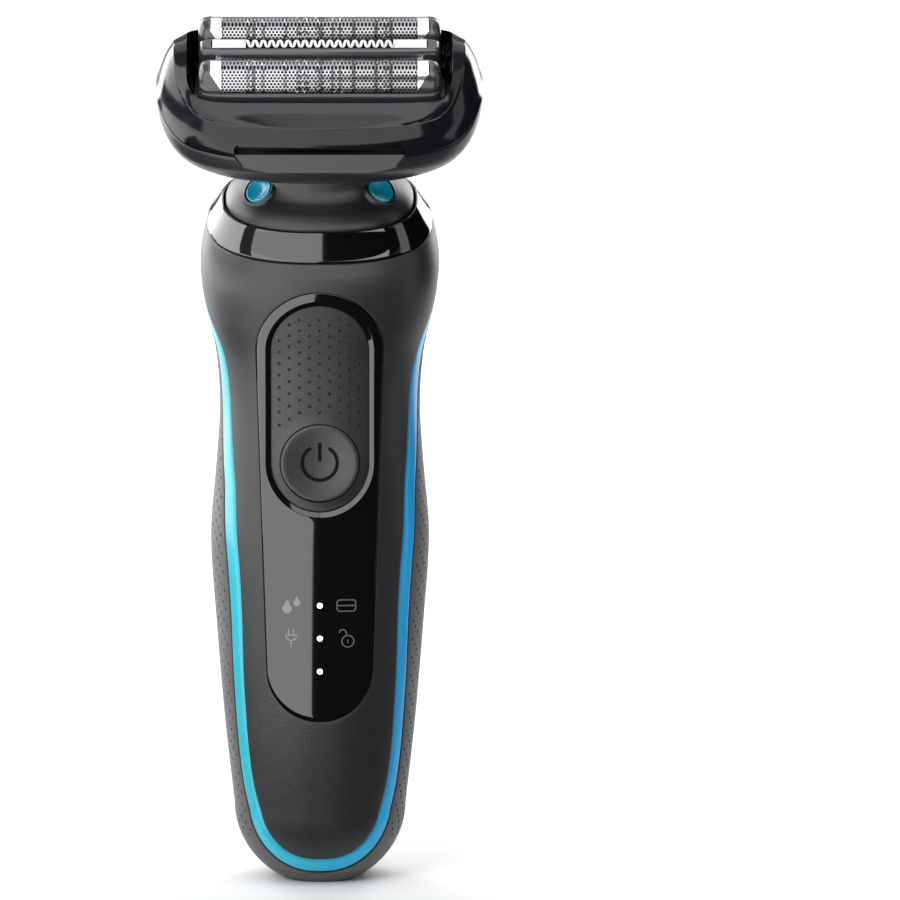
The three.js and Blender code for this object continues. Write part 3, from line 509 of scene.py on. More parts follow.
def front_shell():
    rim, wall = 1.6, 2.4
    bevel = BEVEL * ROUND
    loops = []
    for grow, inset in ((GAP, rim), (GAP, EDGE), (GAP + BEVEL * EDGE, BEVEL * EDGE)):
        loops.append(surface(*shell_inner(grow, inset), inset))
    inner, outer = shell_inner(GAP + EDGE, 0), shell_outer(CLEAR + ROUND, 0, ROUND)
    loops += [surface(*between(inner, outer, share)) for share in np.linspace(0, 1, 30)]
    for clearance, inset, drop in ((CLEAR + bevel, bevel, bevel), (CLEAR, ROUND, 0), (CLEAR, rim, 0)):
        loops.append(surface(*shell_outer(clearance, inset, drop), inset))
    inner, outer = shell_inner(GAP, wall), shell_outer(CLEAR, wall)
    loops += [surface(*between(inner, outer, share), wall) for share in (0.9, 0.6, 0.3, 0.1)]
    ring_solid("front_shell_skin", loops, "handle", "shell", stands_for=["front_shell"])


# ---- accent stripe -------------------------------------------------------------------------
def accent_stripe():
    count = 260
    rim = 0.16
    wall, bevel = 1.6, BEVEL * rim
    profile = [(-1, 0, wall), (-1, 0, rim), (-1, bevel, bevel)]  # share of the half width, shift, inset
    profile += [(share, rim * -share, 0) for share in np.linspace(-1, 1, 7)]
    profile += [(1, -bevel, bevel), (1, 0, rim), (1, 0, wall)]
    loops = []
    for share, shift, inset in profile:
        q, z = edge_line(share, shift, inset, count)
        loops.append(surface(np.r_[q, -q[:-1][::-1]], np.r_[z, z[:-1][::-1]], inset))
    loops = np.array(loops)
    rows, width = loops.shape[:2]
    faces = grid_faces(rows, width, around=False, closed=True)
    faces += [tuple(r * width for r in range(rows)), tuple(r * width + width - 1 for r in range(rows))[::-1]]
    piece("accent_stripe_line", loops.reshape(-1, 3), faces, "handle", "accent",
          stands_for=["accent_stripe"])


# ---- rubber grip ---------------------------------------------------------------------------
GRIP_WALL = 1.5


def grip_loop(z, deep):
    """Outer line of the grip's section at z, then its inner line back; deep 0 closes the front."""
    line = []
    for extra, inset in ((CLEAR, ROUND), (CLEAR + BEVEL * ROUND, BEVEL * ROUND)):
        line.append((float(edge_turn(z, 1, extra)) * deep, inset * deep))
    start = float(edge_turn(z, 1, CLEAR + ROUND)) * deep
    middle = [(start + (2 * math.pi - 2 * start) * share, 0.0) for share in np.linspace(0, 1, 70)]
    line = line + middle + [(2 * math.pi - q, inset) for q, inset in line[::-1]]
    first = line[0][0]
    inner = [(2 * math.pi - first - (2 * math.pi - 2 * first) * share, GRIP_WALL)
             for share in np.linspace(0, 1, 41)]
    return np.array([surface(q, z, inset) for q, inset in line + inner]), len(line)


def grip_dimples():
    """Small flattened balls to cut out of the grip, in staggered rows."""
    low, high, pitch, columns = 9, 118, 1.17, 66
    made = []
    for j in range(int((high - low) / pitch)):
        z = low + j * pitch
        start = float(edge_turn(z, 1, CLEAR + 0.2))
        for i in range(1, columns):
            if (i + j) % 3:
                continue
            q = start + (2 * math.pi - 2 * start) * (i / columns)
            ahead, up = surface(q + 0.01, z) - surface(q - 0.01, z), surface(q, z + 0.1) - surface(q, z - 0.1)
            made.append(ball(surface(q, z), 0.33, 0.32, np.cross(ahead, up), sides=8))
    return made


def rubber_grip():
    low = edge_bottom(1, CLEAR)
    below = np.array([0, 0.15, 0.4, 0.8, 1.3, 1.9, 2.6, 3.4, 4.3])
    heights = np.r_[below[below < low - 0.1], low + (BODY_TOP - low) * np.linspace(0, 1, 110) ** 1.6]
    opened = [float(z > low) for z in heights]
    rows = [grip_loop(z, deep) for z, deep in zip(heights, opened)]
    outer_count = rows[0][1]
    loops = np.array([row[0] for row in rows])
    count = loops.shape[1]
    faces = []
    for r in range(len(loops) - 1):
        for i in range(count):
            if i in (count - 1, outer_count - 1) and not opened[r + 1]:
                continue  # no side walls below the opening
            j = (i + 1) % count
            faces.append((r * count + i, r * count + j, (r + 1) * count + j, (r + 1) * count + i))
    points = np.vstack([loops.reshape(-1, 3), [[0, 0, 0], [0, 0, GRIP_WALL]]])
    hub = len(points) - 2
    faces += [(hub, i + 1, i) for i in range(outer_count - 1)]
    faces += [(hub + 1, i + 1, i) for i in range(outer_count, count - 1)]
    # the top rim joins the outer line to the coarser inner one
    last = (len(loops) - 1) * count
    inner_count = count - outer_count
    step = (outer_count - 1) / (inner_count - 1)
    for k in range(inner_count - 1):
        a, b = round(k * step), round((k + 1) * step)
        inner = last + count - 1 - k
        faces.append((*range(last + b, last + a - 1, -1), inner, inner - 1))
    grip = piece("rubber_grip_skin", points, faces, "handle", "grip", stands_for=["rubber_grip"])
    socket_low, socket_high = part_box("charging_socket")
    margin = 0.25
    x, y0, y1 = socket_high[0] / MM + margin, socket_low[1] / MM - margin, socket_high[1] / MM + margin
    box_points = [(sx * x, y, z) for z in (-1, 12) for y in (y0, y1) for sx in (-1, 1)]
    box_faces = [(0, 2, 3, 1), (4, 5, 7, 6), (0, 1, 5, 4), (2, 6, 7, 3), (0, 4, 6, 2), (1, 3, 7, 5)]
    cut(grip, box_points, box_faces)
    cut(grip, *merged(grip_dimples()), sharp=30)


# ---- panel, pad, button and symbols --------------------------------------------------------
def front_loop(shape, inset=0.0):
    """An outline of (x, z) points laid on the front of the handle."""
    return front_points(shape[:, 0], shape[:, 1], inset)


def pad_outline(grow):
    return stadium(grow=grow, **PAD_SHAPE)


def front_panel():
    back, rebate = 1.2, 0.42  # how far the panel's back and the slope round the pad reach inside
    edge = -PANEL_INSET
    outer, inner = stadium(grow=edge - EDGE, **PANEL), pad_outline(0.95)
    loops = []
    for grow, inset in ((0.02, back), (0.02, rebate), (0.8, 0.06), (0.89, 0.02)):
        loops.append(front_loop(pad_outline(grow), inset))
    loops += [front_loop(between(inner, outer, share)) for share in np.linspace(0, 1, 40)]
    for grow, inset in ((edge - BEVEL * EDGE, BEVEL * EDGE), (edge, EDGE), (edge, back)):
        loops.append(front_loop(stadium(grow=grow, **PANEL), inset))
    loops += [front_loop(between(inner, outer, share), back) for share in (0.8, 0.5, 0.2)]
    panel = ring_solid("front_panel_skin", loops, "handle", "gloss", stands_for=["front_panel"])
    cut(panel, *merged([prism(circle(0.5, 0, z, 24), -30, -6) for z in light_heights()]))


def light_heights():
    """Heights of the three light chips, from the lowest up."""
    return [sum(corner[2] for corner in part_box(f"light_chip_{where}")) / 2 / MM
            for where in ("lower", "middle", "upper")]


def thumb_pad():
    sink, hole, wall = 0.8, 7.46, 1.4  # depth under the panel, radius round the button, thickness
    outer = pad_outline(-0.12)
    # round the hole, turns are evened out so that the loops stay tidy far above the button
    even = np.linspace(0, math.pi, HALF)
    even = np.r_[even, -even[1:-1][::-1]]
    turns = between(np.arctan2(outer[:, 0], outer[:, 1] - BUTTON_Z), even, 0.5)
    unit = np.column_stack([np.sin(turns), np.cos(turns)])

    def ridge(shape):
        """Height of the raised ring round the button."""
        reach = np.hypot(shape[:, 0], shape[:, 1] - BUTTON_Z) - hole
        return 0.42 * np.clip(1 - reach / 1.7, 0, 1) ** 1.6

    def rim(radius):
        return unit * radius + [0, BUTTON_Z]

    loops = [front_loop(rim(hole), sink + wall)]
    for radius, inset in ((hole, sink + 0.15), (hole + 0.05, sink + 0.04)):
        loops.append(front_loop(rim(radius), inset - ridge(rim(radius))))
    inner = rim(hole + 0.2)
    for share in np.linspace(0, 1, 30):
        shape = between(inner, outer, share)
        loops.append(front_loop(shape, sink - ridge(shape)))
    loops.append(front_loop(outer, sink + wall))
    loops += [front_loop(between(outer, inner, share), sink + wall) for share in (0.6, 0.3)]
    pad = ring_solid("thumb_pad_skin", loops, "handle", "pad", stands_for=["thumb_pad"])
    dimples = []
    for column in range(-4, 5):
        for k in np.arange(11) + 0.5 * (column % 2):
            x, z = 1.88 * column, 109.0 - 2.1 * k - 0.022 * k ** 2
            past_top = math.hypot(x, max(z - PAD_SHAPE["top"], 0)) > 8.2
            if math.hypot(x, z - BUTTON_Z) < hole + 1.2 or past_top or z < 87:
                continue
            dimples.append(ball(front_points(x, z, sink), 0.32, 0.5, (0, 1, 0), sides=12))
    cut(pad, *merged(dimples), sharp=30)


def turned(name, profile, sides, *args, **more):
    """A piece turned about the Y axis at the button's height, from (radius, y) points, centre to centre."""
    turns = full_turn(sides)
    loops = [np.column_stack([r * np.cos(turns), np.full(sides, y), BUTTON_Z + r * np.sin(turns)])
             for r, y in profile]
    return capped_solid(name, loops, *args, **more)


BUTTON_FACE, BUTTON_RADIUS, BUTTON_DISH = -14.9, 7.34, 0.85


def dish_y(radius):
    """Y of the button's dished face."""
    share = np.clip(np.asarray(radius, float) / (BUTTON_RADIUS - 0.5), 0, 1)
    return BUTTON_FACE + BUTTON_DISH * (1 - share ** 2) ** 1.3


def power_button():
    radii = np.r_[0.05, np.linspace(0.6, BUTTON_RADIUS - 0.5, 22)]
    profile = [(r, float(dish_y(r))) for r in radii]
    profile += [(BUTTON_RADIUS - 0.3, BUTTON_FACE + 0.02), (BUTTON_RADIUS - 0.1, BUTTON_FACE + 0.12),
                (BUTTON_RADIUS, BUTTON_FACE + 0.35), (BUTTON_RADIUS, -12.4), (2, -12.4), (2, -11),
                (0.05, -11)]
    turned("power_button_skin", profile, 96, "power_button", "button", stands_for=["power_button"])


def finely(line, step=0.25):
    """The line with points added so that none are further apart than a step."""
    line = np.asarray(line, float)
    made = [line[:1]]
    for a, b in zip(line[:-1], line[1:]):
        count = max(1, math.ceil(np.linalg.norm(b - a) / step))
        made.append(a + (b - a) * np.arange(1, count + 1)[:, None] / count)
    return np.vstack(made)


def ribbon(line, width, closed=False):
    """(points, faces) of a flat ribbon along a line of (x, z); each point gets a left and a right one."""
    line = np.asarray(line, float)
    line = finely(np.vstack([line, line[:1]]))[:-1] if closed else finely(line)
    if closed:
        ahead, back = np.roll(line, -1, 0), np.roll(line, 1, 0)
    else:
        ahead, back = np.vstack([line[1:], line[-1:]]), np.vstack([line[:1], line[:-1]])
    way = ahead - back
    way /= np.linalg.norm(way, axis=1)[:, None]
    side = np.column_stack([-way[:, 1], way[:, 0]]) * width / 2
    points = np.vstack([line + side, line - side])
    n = len(line)
    faces = [(i, (i + 1) % n, (i + 1) % n + n, i + n) for i in range(n if closed else n - 1)]
    return points, faces


def thick_sheet(name, top, bottom, faces, *args, **more):
    """A sheet with thickness, from matching top and bottom points."""
    n = len(top)
    edges = {(a, b): True for face in faces for a, b in zip(face, face[1:] + face[:1])}
    walls = [(a, b, b + n, a + n) for a, b in edges if (b, a) not in edges]
    solid = list(faces) + [tuple(i + n for i in face[::-1]) for face in faces] + walls
    return piece(name, np.vstack([top, bottom]), solid, *args, **more)


def printed(name, shapes, onto, body, slot, look, thick=0.02):
    """Thin raised print: flat shapes in (x, z), laid on a surface given by onto(x, z, lift)."""
    flat, faces = merged(shapes)
    top, bottom = (onto(flat[:, 0], flat[:, 1], lift) for lift in (thick, -0.02))
    thick_sheet(name, top, bottom, faces, body, slot, look=look)


def arc_line(x, z, radius, start, end, count=24):
    turns = np.radians(np.linspace(start, end, count))
    return np.column_stack([x + radius * np.cos(turns), z + radius * np.sin(turns)])


def power_symbol():
    def onto(x, z, lift):
        radius = np.hypot(x, z - BUTTON_Z)
        return np.column_stack([x, dish_y(radius) - lift, z])

    bar_line = np.column_stack([np.zeros(12), BUTTON_Z + np.linspace(0.25, 3.85, 12)])
    shapes = [ribbon(arc_line(0, BUTTON_Z, 3.26, 120, 420, 60), 0.66), ribbon(bar_line, 0.66)]
    # the engraved groove is drawn as raised print, its shade painted in the near-black symbol colour
    printed("power_symbol", shapes, onto, "power_button", "button", "symbol")


def panel_symbols():
    def onto(x, z, lift):
        return front_points(x, z, -lift)

    def drop(x, z, size):
        turns = np.linspace(0, 2 * math.pi, 28, endpoint=False)
        reach = size * (1 + 0.55 * np.clip(np.sin(turns), 0, 1) ** 6)
        return np.column_stack([x + size * 0.85 * np.cos(turns) * (1 - 0.25 * (np.sin(turns) > 0.4)),
                                z + reach * np.sin(turns)])

    def filled(line):
        n = len(line)
        return np.vstack([line, line.mean(0)]), [(i, (i + 1) % n, n) for i in range(n)]

    wide = 0.22
    _, low, high = light_heights()
    shapes = [filled(drop(-6.1, high - 0.5, 1.05)), filled(drop(-4.3, high + 0.6, 0.72))]
    plug = [arc_line(-5.35, low + 0.6, 1.0, 180, 360, 14), [(-6.4, low + 0.62), (-4.3, low + 0.62)],
            [(-5.8, low + 0.7), (-5.8, low + 1.85)], [(-4.9, low + 0.7), (-4.9, low + 1.85)],
            [(-5.35, low - 0.45), (-5.35, low - 1.7)]]
    corner = 0.55
    box = np.vstack([arc_line(4.95 + sx * (1.75 - corner), high + sz * (1.08 - corner), corner, a, a + 90, 7)
                     for sx, sz, a in ((1, 1, 0), (-1, 1, 90), (-1, -1, 180), (1, -1, 270))])
    cassette = [ribbon(box, wide, closed=True), ribbon([(3.25, high), (6.65, high)], wide)]
    shackle = np.vstack([[(4.95, low + 0.5)], arc_line(4.3, low + 1.05, 0.65, 0, 180, 14)])
    padlock = [ribbon(arc_line(5.23, low - 0.55, 1.12, 0, 360, 28)[:-1], wide, closed=True),
               ribbon(shackle, wide), ribbon([(5.23, low - 0.25), (5.23, low - 0.85)], wide)]
    shapes += [ribbon(line, wide) for line in plug] + cassette + padlock
    printed("panel_symbols", shapes, onto, "handle", "gloss", "print")


# ---- collar and neck -----------------------------------------------------------------------
def super_loop(width, depth, t, power=BODY_POWER, count=160, y=0.0):
    turns = full_turn(count)
    return np.column_stack([signed_power(np.cos(turns), 2 / power) * width,
                            y + signed_power(np.sin(turns), 2 / power) * depth, np.full(count, t)])


def collar_ring():
    # half width, half depth, height above the neck frame: the outside up, the rim, the inside down
    profile = [(20.75, 17.95, 0.3), (20.95, 18.15, 0.42), (20.9, 18.08, 0.62)]
    profile += [(21 - 2.25 * s, 18.2 - 3.1 * s, 0.3 + 3.9 * s) for s in (0.2, 0.4, 0.6, 0.8, 0.95)]
    profile += [(18.72, 15.06, 4.24), (18.6, 14.92, 4.42), (18.38, 14.6, 4.74), (18.25, 14.42, 4.8),
                (18.0, 14.2, 4.72), (17.92, 14.12, 4.5), (17.92, 14.12, 0.3)]
    loops = [leaning(super_loop(w, d, t), **NECK_FRAME) for w, d, t in profile]
    ring_solid("collar_ring_skin", loops, "handle", "gloss", stands_for=["collar_ring"], sharp=25)


DOME = np.array([  # y, z, lean, half width, half depth
    (-1.7, 125.3, 15.5, 17.6, 13.8), (-2.62, 128.65, 15.5, 17.6, 13.8), (-3, 130, 15.5, 17.3, 13.4),
    (-3.37, 131.35, 16, 16.2, 12.3), (-3.69, 132.5, 16.5, 14.6, 11), (-3.96, 133.5, 17, 13, 10.1),
    (-4.42, 135.2, 19, 11.6, 9.4), (-4.81, 137.42, 21, 11.2, 9.3)])


def spline(table, count):
    """Rows of a smooth curve through the rows of table."""
    padded = np.vstack([2 * table[0] - table[1], table, 2 * table[-1] - table[-2]])
    out = []
    for u in np.linspace(0, len(table) - 1, count):
        i = min(int(u), len(table) - 2)
        f = u - i
        a, b, c, d = padded[i:i + 4]
        out.append(b + 0.5 * f * (c - a + f * (2 * a - 5 * b + 4 * c - d + f * (3 * (b - c) + d - a))))
    return np.array(out)


# a release button is square to the dome where it stands; side is -1 or 1
def release_normal(side):
    return np.array([side * 0.527, -0.597, 0.605])


def release_centre(side):
    return np.array([side * 11.2, -9.7, 132.1])


def frame_for(normal):
    side = np.cross([0.0, 0.0, 1.0], normal)
    side /= np.linalg.norm(side)
    return side, np.cross(normal, side)


def lathe_on(centre, normal, profile, sides):
    """Loops of a piece turned about normal through centre, from (radius, height) points."""
    side, up = frame_for(normal)
    turns = full_turn(sides)
    out = np.cos(turns)[:, None] * side + np.sin(turns)[:, None] * up
    return np.array([centre + out * r + normal * h for r, h in profile])


def bar_between(centre, normal, radius, inner, outer, sides=40):
    loops = lathe_on(centre, normal, [(radius, inner), (radius, outer)], sides)
    faces = grid_faces(2, sides) + [tuple(range(sides)), tuple(range(2 * sides - 1, sides - 1, -1))]
    return loops.reshape(-1, 3), faces


def neck_dome():
    rows = spline(DOME, 46)
    loops = [leaning(super_loop(w, d, 0), y, z, lean) for y, z, lean, w, d in rows]
    inner = rows[::-4].copy()
    inner[:, 3:] -= 2.2
    inner[0, 1] -= 2.2
    hole = [headed(super_loop(5.1, 5.1, t, 2.0)) for t in (-15.5, -18.6)]
    loops += hole
    loops += [leaning(super_loop(w, d, 0), y, z, lean) for y, z, lean, w, d in inner]
    dome = ring_solid("neck_dome_skin", loops, "handle", "neck", stands_for=["neck_dome"])
    for side in (-1, 1):
        cut(dome, *bar_between(release_centre(side), release_normal(side), 2.86, -6, 8))


def release_buttons():
    for side, word in ((-1, "left"), (1, "right")):
        normal = release_normal(side)
        lip = [(2.9, -0.6), (2.9, 0.34), (2.97, 0.46), (3.1, 0.5), (3.28, 0.44), (3.5, 0.2), (3.62, -0.1),
               (3.62, -0.6)]
        ring_solid(f"release_lip_{word}", lathe_on(release_centre(side), normal, lip, 72), "handle", "neck")
        radius, dish, rim, dished = 2.7, 0.75, 0.45, 2.3
        profile = [(0.02, rim - dish)]
        profile += [(r, rim - dish * (1 - (r / dished) ** 2)) for r in np.linspace(0.3, dished, 9)]
        profile += [(2.45, 0.5), (2.6, 0.44), (radius, 0.28), (radius, -3.4), (0.02, -3.4)]
        loops = lathe_on(release_centre(side), normal, profile, 56)
        capped_solid(f"release_{word}_skin", loops, f"release_{word}", "release",
                     stands_for=[f"release_button_{word}"])


# ---- head shell ----------------------------------------------------------------------------
HEAD_POWER = 2.6  # of the superellipse that the head follows
SEAM_DIP = 4.15  # how far the seam drops at the front
HEAD_BOTTOM = -15.3
NOTCH_HALF = 15.9  # half width of the notch in front, across base and bezel
BASE_TABLE = np.array([  # t, half width, front, rear
    (-15.3, 11.4, 9.6, 9.6), (-14.9, 13.6, 10.4, 10.4), (-14.3, 18, 11.5, 11.4), (-13, 23, 13.3, 12.9),
    (-11, 26.2, 15.5, 14.4), (-8, 28.5, 17.7, 16.2), (-5, 29.7, 19.1, 17.2), (-3, 30.15, 19.7, 17.6),
    (0, 30.5, 20.2, 18)])


def ease(value):
    u = np.clip(value, 0, 1)
    return u * u * (3 - 2 * u)


def head_loop(width, front, rear, t, dip=0.0, lift=0.0, power=HEAD_POWER, count=200):
    """A loop of the head in its own frame. dip follows the seam's drop, lift the ears' rise."""
    turns = full_turn(count)
    x, y = (signed_power(wave(turns), 2 / HEAD_POWER) for wave in (np.cos, np.sin))
    norm = (np.abs(x) ** power + np.abs(y) ** power) ** (1 / power)
    x, y = x / norm * width, (rear - front) / 2 + y / norm * (front + rear) / 2
    ear = 6.8 * np.maximum(0, 1 - ((y + 1) / 15.5) ** 2) ** 2
    return np.column_stack([x, y, t - dip * SEAM_DIP * ease((-y - 5) / 11) + lift * ear])


def base_dip(t):
    """The share of the seam's drop that the base takes at height t."""
    return float(ease((t - HEAD_BOTTOM) / -HEAD_BOTTOM))


def head_base():
    rows = spline(BASE_TABLE, 60)
    neck, wall, front_wall = 6.4, 1.7, 3.2
    loops = [headed(super_loop(neck, neck, HEAD_BOTTOM, 2.0, 200))]
    loops += [headed(head_loop(width, front, rear, t, base_dip(t))) for t, width, front, rear in rows]
    loops[-1] = headed(head_loop(30.42, 20.12, 17.92, 0, dip=1))
    loops.append(headed(head_loop(30.2, 19.9, 17.7, 0, dip=1)))
    for t, width, front, rear in rows[::-5][:-2]:
        loops.append(headed(head_loop(width - wall, front - front_wall, rear - wall, t, base_dip(t))))
    loops.append(headed(super_loop(neck, neck, -13, 2.0, 200)))
    base = ring_solid("head_base_skin", loops, "head", "head_satin", stands_for=["head_base"])
    half_low, low, step, corner = 14.3, -7.2, -4.1, 1.3
    outline = np.vstack([[(-NOTCH_HALF, 3), (NOTCH_HALF, 3), (NOTCH_HALF, step)],
                         arc_line(half_low - corner, low + corner, corner, 0, -90, 9),
                         arc_line(-half_low + corner, low + corner, corner, -90, -180, 9),
                         [(-NOTCH_HALF, step)]])
    points, faces = prism(outline, -30, -19.25 + 0.5 * (outline[:, 1] - low))
    cut(base, headed(points), faces, sharp=30)


def head_bezel():
    specs = [  # half width, front, rear, t, dip, lift, power
        (30.25, 19.95, 17.75, 0.3, 1, 0, 2.6),
        (30.45, 20.15, 17.95, 0.36, 1, 0, 2.6),
        (30.5, 20.2, 18, 0.5, 1, 0.02, 2.6)]
    wall = np.array([(30.5, 20.2, 18, 0.3, 1, 0, 2.6), (29.6, 19.98, 17.8, 1.2, 0.5, 0.35, 2.8),
                     (28.5, 19.34, 17.5, 1.75, 0.2, 0.7, 3.0), (27.3, 18.88, 17.06, 2.16, 0, 0.98, 3.2)])
    specs += [tuple(row) for row in spline(wall, 16)[2:]]
    specs += [(27.2, 18.82, 16.97, 2.22, 0, 1, 3.2), (27.08, 18.7, 16.85, 2.3, 0, 1, 3.22)]
    slope = np.array([(27.08, 18.7, 16.85, 2.3, 0, 1, 3.22), (24.95, 14.2, 13.75, 4.33, 0, 0.79, 7)])
    specs += [tuple(slope[0] + (slope[1] - slope[0]) * s) for s in np.linspace(0, 1, 10)[1:]]
    specs += [(24.85, 14.04, 13.63, 4.4, 0, 0.785, 7.4), (24.76, 13.95, 13.56, 4.34, 0, 0.775, 7.8),
              (24.6, 13.88, 13.5, 3.4, 0, 0.65, 8.5), (23.5, 13.6, 13.4, -1, 0, 0, 10)]
    lip = 2.4
    specs += [(30.5 - inset, 20.2 - inset, 18 - inset, t, 1, 0, 2.6)
              for inset, t in ((lip + 1.2, -1.6), (lip, -1.6), (lip, 0.3))]
    loops = [headed(head_loop(w, f, r, t, dip, lift, p, 240)) for w, f, r, t, dip, lift, p in specs]
    bezel = ring_solid("head_bezel_skin", loops, "head", "head_gloss", stands_for=["head_bezel"], sharp=22)
    high, corner = -1.2, 1.2
    outline = np.vstack([[(-NOTCH_HALF, -5.6), (NOTCH_HALF, -5.6)],
                         arc_line(NOTCH_HALF - corner, high - corner, corner, 0, 90, 8),
                         arc_line(-NOTCH_HALF + corner, high - corner, corner, 90, 180, 8)])
    points, faces = prism(outline, -30, -16.4)
    cut(bezel, headed(points), faces, sharp=22)


# ---- cutting elements ----------------------------------------------------------------------
PITCH = 7.7  # from the middle element to the foils
AXIS_T = 6.0  # height of a foil's axis in the head's frame
FOIL_RADIUS = 3.8
QUARTER = math.pi / 2 * FOIL_RADIUS  # from the crest along the foil to where it runs straight down


def arch_point(x, arc, radius, centre):
    """A point on a foil's arch: arc is the distance from the crest along the foil, positive to the rear."""
    x, arc = np.broadcast_arrays(np.asarray(x, float), np.asarray(arc, float))
    turn = np.clip(arc, -QUARTER, QUARTER) / FOIL_RADIUS
    extra = np.abs(arc) - QUARTER
    y = radius * np.sin(turn)
    t = AXIS_T + radius * np.cos(turn) - np.maximum(extra, 0)
    return np.stack([x, centre + y, t], -1)


def hex_cells(half, reach, pitch, hole, stretch):
    """Perforated sheet in (x, arc): hexagonal cells with a hexagonal hole. stretch(arc) lengthens rows."""
    points, index, faces = [], {}, []
    row_step = pitch * math.sqrt(3) / 2

    def corner(x, v):
        key = (round(x * 500), round(v * 500))
        if key not in index:
            index[key] = len(points)
            points.append((x, v))
        return index[key]

    rows = int(reach / row_step)
    for j in range(-rows, rows + 1):
        columns = int(half / pitch)
        for i in range(-columns, columns + 1):
            cx, cv = (i + 0.5 * (j % 2)) * pitch, j * row_step
            if abs(cx) + pitch / 2 > half + 1e-6:
                continue
            outer, inner = [], []
            for k in range(6):
                turn = math.pi / 6 + k * math.pi / 3
                r = pitch / math.sqrt(3)
                outer.append(corner(cx + r * math.cos(turn), cv + r * math.sin(turn)))
                points.append((cx + hole * math.cos(turn), cv + hole * math.sin(turn)))
                inner.append(len(points) - 1)
            for k in range(6):
                m = (k + 1) % 6
                faces.append((outer[k], outer[m], inner[m], inner[k]))
    points = np.array(points)
    return np.column_stack([points[:, 0], stretch(points[:, 1])]), faces


def arched_sheet(name, flat, faces, outer, inner, word, centre, slot, **more):
    """A sheet bent over a foil's arch between two radii, from (x, arc) points."""
    top, bottom = (headed(arch_point(flat[:, 0], flat[:, 1], radius, centre)) for radius in (outer, inner))
    thick_sheet(name, top, bottom, faces, f"{word}_element", slot, sharp=40, **more)


def strip_faces(rows, way):
    """Quads of a strip that is two points wide; way -1 turns them over."""
    return [(2 * r, 2 * r + 1, 2 * r + 3, 2 * r + 2)[::way] for r in range(rows - 1)]


def foil(word, centre):
    """A perforated foil with its lower edges tucked into the frame."""
    mesh_half, half, thick = 18.4, 20.25, 0.12
    slots, crest = 2.2, 1.0  # rows up to crest are stretched to long slots, the others stay plain hexagons
    edge = QUARTER + 0.9

    def stretch(v):
        beyond = np.maximum(np.abs(v) - crest, 0) * (edge - slots) / (QUARTER - crest)
        return np.sign(v) * (np.clip(np.abs(v), 0, crest) * slots + beyond)

    flat, faces = hex_cells(mesh_half, QUARTER - 0.1, 0.69, 0.27, stretch)
    limit = float(np.abs(flat[:, 1]).max())
    parts = [(flat, faces)]
    for sign in (-1, 1):
        strip = [(x, sign * v) for x in np.linspace(-half, half, 41) for v in (limit - 0.05, QUARTER + 1.2)]
        parts.append((strip, strip_faces(41, -sign)))
    arched_sheet(f"{word}_foil_sheet", *merged(parts), FOIL_RADIUS - 0.03, FOIL_RADIUS - thick, word, centre,
                 "foil", stands_for=[f"{word}_foil"])


def foil_ends(word, centre):
    """Bright plates at the foil's ends, and the frame's slanted corners over them."""
    mesh_half, half = 18.3, 20.3
    corner_arc = 2.9  # where a corner begins, from the crest
    for side, where in ((-1, "left"), (1, "right")):
        arcs = np.linspace(-QUARTER - 0.6, QUARTER + 0.6, 41)
        flat = np.array([(side * x, v) for v in arcs for x in (mesh_half, half)])
        arched_sheet(f"{word}_foil_plate_{where}", flat, strip_faces(41, side), FOIL_RADIUS - 0.01,
                     FOIL_RADIUS - 0.2, word, centre, "comb_steel")
        for turn, face_word in ((-1, "front"), (1, "rear")):
            flat = np.array([(side * x, turn * (corner_arc + (QUARTER + 0.7 - corner_arc) * share))
                             for share in np.linspace(0, 1, 15)
                             for x in (half - 0.1 - 2.5 * share, half + 0.25)])
            arched_sheet(f"{word}_corner_{face_word}_{where}", flat, strip_faces(15, side * turn),
                         FOIL_RADIUS + 0.16, FOIL_RADIUS - 0.1, word, centre, "element_frame")


def element_frame(word, centre):
    """Frame round a foil: a low rim, and a rounded shoulder at each end."""
    half, depth, inside, low, top, cap = 22.6, 4.6, 4.0, 2.8, 5.6, 20.55
    rim = []
    for inset, t in ((0.35, low), (0, low + 0.3), (0, top - 0.4), (0.12, top - 0.1), (0.35, top)):
        rim.append(super_loop(half - inset, depth - inset, t, 9, 200, centre))
    for inset, t in ((0, top), (0, low)):
        rim.append(super_loop(cap + inset, inside + inset, t, 14, 200, centre))
    ring_solid(f"{word}_element_rim", [headed(loop) for loop in rim], f"{word}_element", "element_frame",
               stands_for=[f"{word}_foil_frame"])
    for side, where in ((-1, "left"), (1, "right")):
        loops = []
        turns = np.linspace(0, math.pi, 31)
        steps = [(20.3, 3.68), (20.36, 3.84), (20.5, 3.9), (21.0, 3.86), (21.6, 3.7), (22.1, 3.36),
                 (22.4, 2.95), (22.55, 2.5), (22.6, 2.0)]
        for x, radius in steps:
            arch = [(side * x, centre + radius, low + 0.2)]
            arch += [(side * x, centre + radius * math.cos(a), AXIS_T - 0.1 + radius * math.sin(a))
                     for a in turns]
            arch += [(side * x, centre - radius, low + 0.2)]
            loops.append(headed(arch))
        capped_solid(f"{word}_shoulder_{where}", loops, f"{word}_element", "element_frame", sharp=40)


